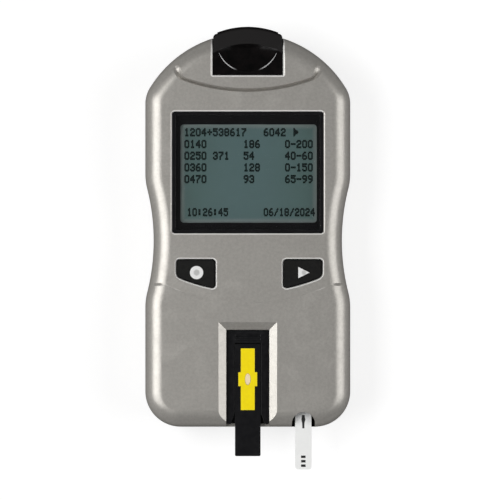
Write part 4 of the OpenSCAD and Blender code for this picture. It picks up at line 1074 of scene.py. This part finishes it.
# the paint's flakes lie flat and look darker where it turns away, which the tint gives
looks = dict(
    silverPaint=dict(colour=(0.44, 0.423, 0.393), other=(0.525, 0.505, 0.47),
                     flakes=dict(flake=0.22, drift=1.1, share=0.45), metallic=0.56, shine=0.2,
                     tint=(0.04, 0.04, 0.04), more=0.07, marks=11.0, scratches=0.4, grain=(0.35, 0.006),
                     wornColour=(0.56, 0.54, 0.5), worn=0.25, wornWidth=0.4, dust=0.1, dustRough=0.3,
                     # the rims of the openings carry a painted highlight with less metal, and the hollows a
                     # dark colour that is partly bare plastic and partly painted shade
                     patch=attribute("rim"), patchColour=(0.92, 0.91, 0.88), accent=attribute("bare"),
                     accentColour=0.006),
    trimBlack=dict(colour=(0.003, 0.003, 0.004), other=(0.006, 0.006, 0.007), smooth=0.16, more=0.08,
                   grain=(0.3, 0.002), wornColour=(0.03, 0.028, 0.028), dust=0.006),
    gasketBlack=dict(colour=(0.002, 0.002, 0.003), other=(0.004, 0.004, 0.005), smooth=0.6, dust=0.01,
                     shine=0.05),
    # the keys' edge mask darkens their rims: painted shade
    keyBlack=dict(colour=0.011, other=(0.015, 0.015, 0.014), cloud=0.9, grain=(0.4, 0.02),
                  wornColour=0.0, worn=3.0, wornWidth=0.75, dust=0.012, shine=0.1),
    # the chip carries a painted highlight on its lip's corners and a painted sheen on its sloping end
    chipBlack=dict(colour=0.003, other=(0.006, 0.005, 0.005), smooth=0.15, more=0.07,
                   grain=(0.28, 0.003), wornColour=0.02, dust=0.006, shine=0.08,
                   accent=lipHighlight, accentColour=0.55, patch=chipEndSheen,
                   patchColour=(0.021, 0.02, 0.02)),
    holderBlack=dict(colour=(0.004, 0.004, 0.005), other=(0.009, 0.009, 0.01), cloud=1.4, smooth=0.3,
                     grain=(0.45, 0.015), wornColour=0.03, dust=0.015, shine=0.2),
    stripBlack=dict(colour=(0.004, 0.004, 0.005), other=(0.007, 0.007, 0.008), cloud=2.0, smooth=0.34,
                    more=0.08, grain=(0.2, 0.005), wornColour=0.03, dust=0.01, shine=0.2),
    coverYellow=dict(colour=(1.0, 0.8, 0.002), other=(0.96, 0.75, 0.004), cloud=1.6, smooth=0.4,
                     grain=(0.25, 0.006), wornColour=(1.0, 0.9, 0.25), worn=0.5, dust=0.02, shine=0.25),
    padPale=dict(colour=(0.95, 0.87, 0.5), other=(0.93, 0.66, 0.5), cloud=0.45, smooth=0.85,
                 grain=(0.09, 0.03), dust=0.0),
    stripWhite=dict(colour=(0.97, 0.975, 0.96), other=(0.94, 0.945, 0.935), grain=(0.2, 0.003),
                    wornColour=0.9, dust=0.03),
    dotWhite=dict(markLook, accent=greyMiddle("enter_key_mark", 1.4), accentColour=(0.5, 0.5, 0.49)),
    arrowWhite=dict(markLook, accent=greyMiddle("next_key_mark", 1.1), accentColour=(0.55, 0.55, 0.54)),
    inkBlack=dict(colour=(0.01, 0.01, 0.011), other=0.02, cloud=0.3, smooth=0.45,
                  grain=(0.1, 0.004), dust=0.0),
    crystalDark=dict(colour=(0.002, 0.004, 0.004), other=(0.004, 0.008, 0.008), cloud=0.4, smooth=0.6,
                     grain=(0.3, 0.0), dust=0.0, shine=0.0),
    labelGrey=dict(colour=(0.42, 0.43, 0.44), other=(0.38, 0.39, 0.4), cloud=6.0, smooth=0.5, more=0.12,
                   grain=(0.15, 0.006), dust=0.05),
    siliconeGrey=dict(colour=(0.35, 0.36, 0.37), other=(0.3, 0.31, 0.32), cloud=2.0, smooth=0.55,
                      grain=(0.2, 0.01), dust=0.3, soft=0.15),
    chipEpoxy=dict(colour=(0.012, 0.012, 0.013), other=(0.02, 0.02, 0.021), cloud=0.5, smooth=0.5,
                   grain=(0.12, 0.01), dust=0.1),
    partsTan=dict(colour=(0.45, 0.33, 0.2), other=(0.3, 0.2, 0.12), cloud=0.9, smooth=0.4, grain=(0.1, 0.01),
                  dust=0.05),
    flexAmber=dict(colour=(0.5, 0.22, 0.03), other=(0.4, 0.16, 0.02), cloud=1.5, smooth=0.25,
                   grain=(0.3, 0.004), dust=0.05),
    guideWhite=dict(colour=(0.8, 0.81, 0.82), other=(0.74, 0.75, 0.76), cloud=2.0, smooth=0.2,
                    grain=(0.3, 0.002), dust=0.02),
    blockBlack=dict(colour=(0.01, 0.01, 0.011), other=(0.016, 0.016, 0.017), smooth=0.5, grain=(0.25, 0.02),
                    wornColour=0.05, dust=0.05))


def paintedPart(name, given):
    look = {**plainLook, **given}
    size, depth = look["grain"]
    material, tree, shader = startMaterial(name, shine=look["shine"], soft=look["soft"], tint=look["tint"])
    height = use(tree, "grain", size=size)
    if look["flakes"]:
        tone = use(tree, "flakes", **look["flakes"])
        height = plus(height, tone.node.outputs["height"])
    else:
        tone = use(tree, "cloud", size=look["cloud"])
    colour = blend(tone, look["colour"], look["other"])
    if look["wornColour"] is not None:
        worn = use(tree, "wear", width=look["wornWidth"], amount=look["worn"])
        colour = blend(worn, colour, look["wornColour"])
    # the patch and accent masks lay other colours on top: painted highlights and sheen, the hollows' dark
    # colour and thin ink
    for part in ("patch", "accent"):
        if look[part]:
            mask = look[part](tree)
            colour = blend(mask, colour, look[part + "Colour"])
            if part == "patch" and look["metallic"]:
                feed(shader, metal=between(mask, look["metallic"], 0.0))
    marks = use(tree, "marks", size=look["marks"], scratches=look["scratches"])
    rough = between(marks, look["smooth"], look["smooth"] + look["more"])
    if look["dust"]:
        dusty = use(tree, "dust", amount=look["dust"])
        colour = blend(dusty, colour, look["dustColour"])
        rough = plus(rough, times(dusty, look["dustRough"]))
    feed(shader, colour=colour, rough=rough)
    if depth:
        bump(tree, shader, height, depth)
    return material


# Metals: a drawn or plated surface with fine lines; rough is given for between the lines and on them
metals = dict(
    screwSteel=dict(colour=(0.3, 0.3, 0.31), other=(0.16, 0.16, 0.17), rough=(0.28, 0.45), lines=(1, 1, 8)),
    springSteel=dict(colour=(0.62, 0.6, 0.57), other=(0.45, 0.43, 0.4), rough=(0.22, 0.38), lines=(1, 6, 6)),
    frameSteel=dict(colour=(0.4, 0.41, 0.42), other=(0.3, 0.31, 0.32), rough=(0.3, 0.42), lines=(6, 0.3, 1)),
    contactGold=dict(colour=(0.83, 0.56, 0.2), other=(0.7, 0.45, 0.15), rough=(0.22, 0.35),
                     lines=(4, 0.5, 1)))
metalLook = dict(cloud=1.2, dust=0.1, dustColour=(0.4, 0.39, 0.38), line=0.35, depth=0.004)


def metalPart(name, look):
    material, tree, shader = startMaterial(name, metal=1.0)
    colour = blend(use(tree, "cloud", size=metalLook["cloud"]), look["colour"], look["other"])
    colour = blend(use(tree, "dust", amount=metalLook["dust"]), colour, metalLook["dustColour"])
    lines = noise(tree, metalLook["line"], stretch=look["lines"])
    feed(shader, colour=colour, rough=between(lines, *look["rough"]))
    bump(tree, shader, lines, metalLook["depth"])
    return material


crystal = dict(middle=(0.046, 0.08, 0.081), side=(0.041, 0.073, 0.069), edge=(0.115, 0.13, 0.125), shine=0.2,
               sides=(8.0, 27.0), drift=6.0, drifting=8.0, middleX=0.3, middleY=-0.375, halfWidth=24.5,
               halfHeight=17.7, line=2.2, lineShare=0.75, pitch=0.39, net=(0.38, 0.5), netShare=0.12,
               netColour=(0.04, 0.06, 0.06), cloud=3.0, smooth=0.42, rough=0.52, grain=0.15, depth=0.001)


# the ground of the display, greener towards its sides, with the faint net of its dots
def crystalGround():
    look = crystal
    material, tree, shader = startMaterial("crystalGround", shine=look["shine"])
    x, y, z = centredOn(tree, "display_panel")
    drifted = plus(positive(x), times(noise(tree, look["drift"]), look["drifting"]))
    colour = blend(ramp(drifted, *look["sides"]), look["middle"], look["side"])
    inside = smaller(minus(look["halfWidth"], positive(minus(x, look["middleX"]))),
                     minus(look["halfHeight"], positive(minus(y, look["middleY"]))))
    colour = blend(ramp(inside, look["line"], 0.0, look["lineShare"]), colour, look["edge"])
    net = [ramp(positive(minus(fraction(over(line, look["pitch"])), 0.5)), *look["net"]) for line in (x, y)]
    colour = blend(times(larger(*net), look["netShare"]), colour, look["netColour"])
    cloudy = use(tree, "cloud", size=look["cloud"])
    feed(shader, colour=colour, rough=between(cloudy, look["smooth"], look["rough"]))
    bump(tree, shader, use(tree, "grain", size=look["grain"]), look["depth"])
    return material


glass = dict(bending=1.49, marks=7.0, scratches=0.8, dust=0.06, dustRough=0.2, grain=2.0, depth=0.0006)


# glass lets the lamps through to what lies under it
def clearPart(name, tint, rough):
    material, tree, shader = startMaterial(name, clear=1.0, colour=tint, bending=glass["bending"])
    marks = use(tree, "marks", size=glass["marks"], scratches=glass["scratches"])
    dusty = use(tree, "dust", amount=glass["dust"])
    feed(shader, rough=plus(times(marks, rough), times(dusty, glass["dustRough"])))
    bump(tree, shader, use(tree, "grain", size=glass["grain"]), glass["depth"])
    through = output(tree, "ShaderNodeBsdfTransparent", {0: (*tint, 1)})
    lamps = put(tree, "ShaderNodeLightPath").outputs["Is Shadow Ray"]
    both = output(tree, "ShaderNodeMixShader", {0: lamps, 1: shader.outputs[0], 2: through})
    tree.links.new(both, tree.nodes["Material Output"].inputs["Surface"])
    return material


boardLook = dict(track=0.9, long=0.08, tracks=(0.55, 0.57), hole=0.35, via=0.12, viaColour=(0.62, 0.6, 0.55),
                 marks=6.0, smooth=0.3, handled=0.45, depth=0.03)


# solder mask over copper tracks, with plated holes
def solderMask(name, plain, raised):
    look = boardLook
    material, tree, shader = startMaterial(name)
    copper = larger(*[ramp(noise(tree, look["track"], 0.0, stretch=stretch), *look["tracks"])
                      for stretch in ((1, look["long"], 1), (look["long"], 1, 1))])
    via = isBelow(cells(tree, look["hole"])[0], look["via"])
    colour = blend(via, blend(copper, plain, raised), look["viaColour"])
    marks = use(tree, "marks", size=look["marks"])
    feed(shader, colour=colour, metal=via, rough=between(marks, look["smooth"], look["handled"]))
    bump(tree, shader, copper, look["depth"])
    return material


jacket = dict(steelFrom=24.0, ringFrom=14.0, ringTo=23.0, lineAt=-19.0, lineHalf=0.4, cloud=2.0,
              dark=(0.03, 0.035, 0.05), light=(0.045, 0.05, 0.065), ring=(0.45, 0.46, 0.48), line=0.5,
              steel=(0.6, 0.59, 0.57), marks=5.0, smooth=0.25, handled=0.4, grain=0.8, depth=0.01)


# a shrunk jacket with two rings, steel at both ends
def cellJacket(node, side):
    look = jacket
    material, tree, shader = startMaterial(node + "Jacket")
    x = times(centredOn(tree, node)[0], float(side))
    steel = isAbove(positive(x), look["steelFrom"])
    ring = times(isAbove(x, look["ringFrom"]), isBelow(x, look["ringTo"]))
    line = output(tree, "ShaderNodeMath", {0: x, 1: look["lineAt"], 2: look["lineHalf"]}, operation="COMPARE")
    colour = blend(use(tree, "cloud", size=look["cloud"]), look["dark"], look["light"])
    for share, name in ((ring, "ring"), (line, "line"), (steel, "steel")):
        colour = blend(share, colour, look[name])
    marks = use(tree, "marks", size=look["marks"])
    feed(shader, colour=colour, metal=steel, rough=between(marks, look["smooth"], look["handled"]))
    bump(tree, shader, use(tree, "grain", size=look["grain"]), look["depth"])
    return material


# Every node's finish
finishes = {name: paintedPart(name, look) for name, look in looks.items()}
finishes.update({name: metalPart(name, look) for name, look in metals.items()})
finishes.update(crystalGround=crystalGround(),
                boardGreen=solderMask("boardGreen", (0.012, 0.085, 0.035), (0.03, 0.16, 0.06)),
                boardBlack=solderMask("boardBlack", (0.004, 0.004, 0.005), (0.012, 0.011, 0.01)),
                windowClear=clearPart("windowClear", (0.97, 0.98, 0.98), 0.03),
                lampClear=clearPart("lampClear", (0.95, 0.93, 0.85), 0.12))
wears = dict(
    silverPaint="front_case rear_case battery_door", trimBlack="display_trim", gasketBlack="window_gasket",
    windowClear="display_window optics_glass", crystalGround="display_panel", keyBlack="enter_key next_key",
    dotWhite="enter_key_mark", arrowWhite="next_key_mark", chipBlack="code_chip_case",
    holderBlack="strip_holder", stripBlack="test_strip", coverYellow="test_strip_cover",
    padPale="test_pad reading_pads", stripWhite="sensor_strip", inkBlack="sensor_strip_marks",
    labelGrey="rear_label",
    blockBlack="optics_block chip_socket", guideWhite="light_guide sensor_socket",
    siliconeGrey="enter_dome next_dome keypad_mat display_connector", boardGreen="main_board optics_board",
    boardBlack="code_chip_board", chipEpoxy="processor memory light_sensors", partsTan="board_parts",
    flexAmber="optics_flex", lampClear="optics_lamps", frameSteel="display_frame clock_crystal",
    springSteel="contact_plates", screwSteel="board_screws optics_screws",
    contactGold="chip_socket_pins code_chip_contacts sensor_socket_contacts")


def dress(piece, material):
    if len(piece.material_slots) == 0:
        piece.data.materials.append(material)
    for held in piece.material_slots:
        held.material = material


buildDots(finishes["crystalDark"])
shown["case_screws"] = buildCaseScrews(finishes["screwSteel"])
shown["cell_springs"] = buildSprings(finishes["springSteel"])
for finish, names in wears.items():
    for node in names.split():
        dress(shown[node], finishes[finish])
for place, side in enumerate((1, -1, 1, -1), 1):
    dress(shown[f"cell_{place}"], cellJacket(f"cell_{place}", side))
print("stage: finishes", len(finishes))


# Floor, lamps and camera

stage = dict(size=3.0, seenColour=0.5, colour=0.22, floorRough=0.9, glow=0.66, evening=0.9, evenReach=0.1,
             farGlow=0.33, farFrom=0.13, farTo=0.75, mirrored=0.14, world=0.12, horizon=1.0, horizonTop=0.25,
             horizonLow=0.05, leftTilt=-44, leftWidth=0.59, leftGlow=3.75, rightTilt=54, rightWidth=0.58,
             rightGlow=2.25, lampLength=0.6, lampDistance=0.7, cameraX=0.8, cameraY=-0.65, cameraHeight=1022,
             lens=200, sensor=36)


# whether a ray is the camera's own, and whether it is mirrored or passed on
def rayKinds(tree):
    path = put(tree, "ShaderNodeLightPath").outputs
    return path["Is Camera Ray"], larger(path["Is Glossy Ray"], path["Is Transmission Ray"])


def buildFloor():
    half = stage["size"] / 2
    mesh = bpy.data.meshes.new("floor")
    mesh.from_pydata(flatRing(boxOutline(-half, half, -half, half), 0), [], [(0, 1, 2, 3)])
    floor = linked("floor", mesh)
    material, tree, shader = startMaterial("floorWhite", rough=stage["floorRough"], shine=0.0)
    camera, shiny = rayKinds(tree)
    seen = larger(camera, times(shiny, stage["mirrored"]))
    feed(shader, colour=blend(seen, stage["colour"], stage["seenColour"]))
    place = put(tree, "ShaderNodeTexCoord").outputs["Object"]
    # the lamps' light falls off to the right and far away, where the glow makes up for it
    reach = stage["evenReach"]
    evened = times(smaller(larger(split(place)[0], -reach), reach), stage["evening"])
    away = put(tree, "ShaderNodeVectorMath", {0: place}, operation="LENGTH").outputs["Value"]
    evened = plus(evened, ramp(away, stage["farFrom"], stage["farTo"], stage["farGlow"]))
    glow = output(tree, "ShaderNodeEmission", {0: (1, 1, 1, 1), 1: times(seen, plus(stage["glow"], evened))})
    both = output(tree, "ShaderNodeAddShader", {0: shader.outputs[0], 1: glow})
    tree.links.new(both, tree.nodes["Material Output"].inputs["Surface"])
    mesh.materials.append(material)


def buildWorld():
    world = bpy.data.worlds.new("studio")
    bpy.context.scene.world = world
    world.use_nodes = True
    tree = world.node_tree
    ground = tree.nodes["Background"]
    ground.inputs[0].default_value = (1, 1, 1, 1)
    camera, shiny = rayKinds(tree)
    height = split(put(tree, "ShaderNodeTexCoord").outputs["Generated"])[2]
    low = times(ramp(height, stage["horizonTop"], stage["horizonLow"], stage["mirrored"]), shiny)
    tree.links.new(between(larger(camera, low), stage["world"], stage["horizon"]), ground.inputs[1])


def buildLamp(side):
    width, facing = stage[side + "Width"], Euler((0, radians(stage[side + "Tilt"]), 0))
    lamp = bpy.data.lights.new(side + "Lamp", "AREA")
    lamp.shape, lamp.size, lamp.size_y = "RECTANGLE", width, stage["lampLength"]
    lamp.energy = stage[side + "Glow"] * pi * width * stage["lampLength"]
    holder = linked(side + "Lamp", lamp)
    holder.location = facing.to_matrix() @ Vector((0, 0, stage["lampDistance"]))
    holder.rotation_euler = facing
    holder.visible_camera = False


def buildCamera():
    camera = linked("camera", bpy.data.cameras.new("camera"))
    camera.location = (stage["cameraX"] * mm, stage["cameraY"] * mm, stage["cameraHeight"] * mm)
    camera.data.lens, camera.data.sensor_width = stage["lens"], stage["sensor"]
    bpy.context.scene.camera = camera


buildFloor()
buildWorld()
buildLamp("left")
buildLamp("right")
buildCamera()
bpy.context.scene.view_settings.view_transform = "Standard"
print("stage: studio")
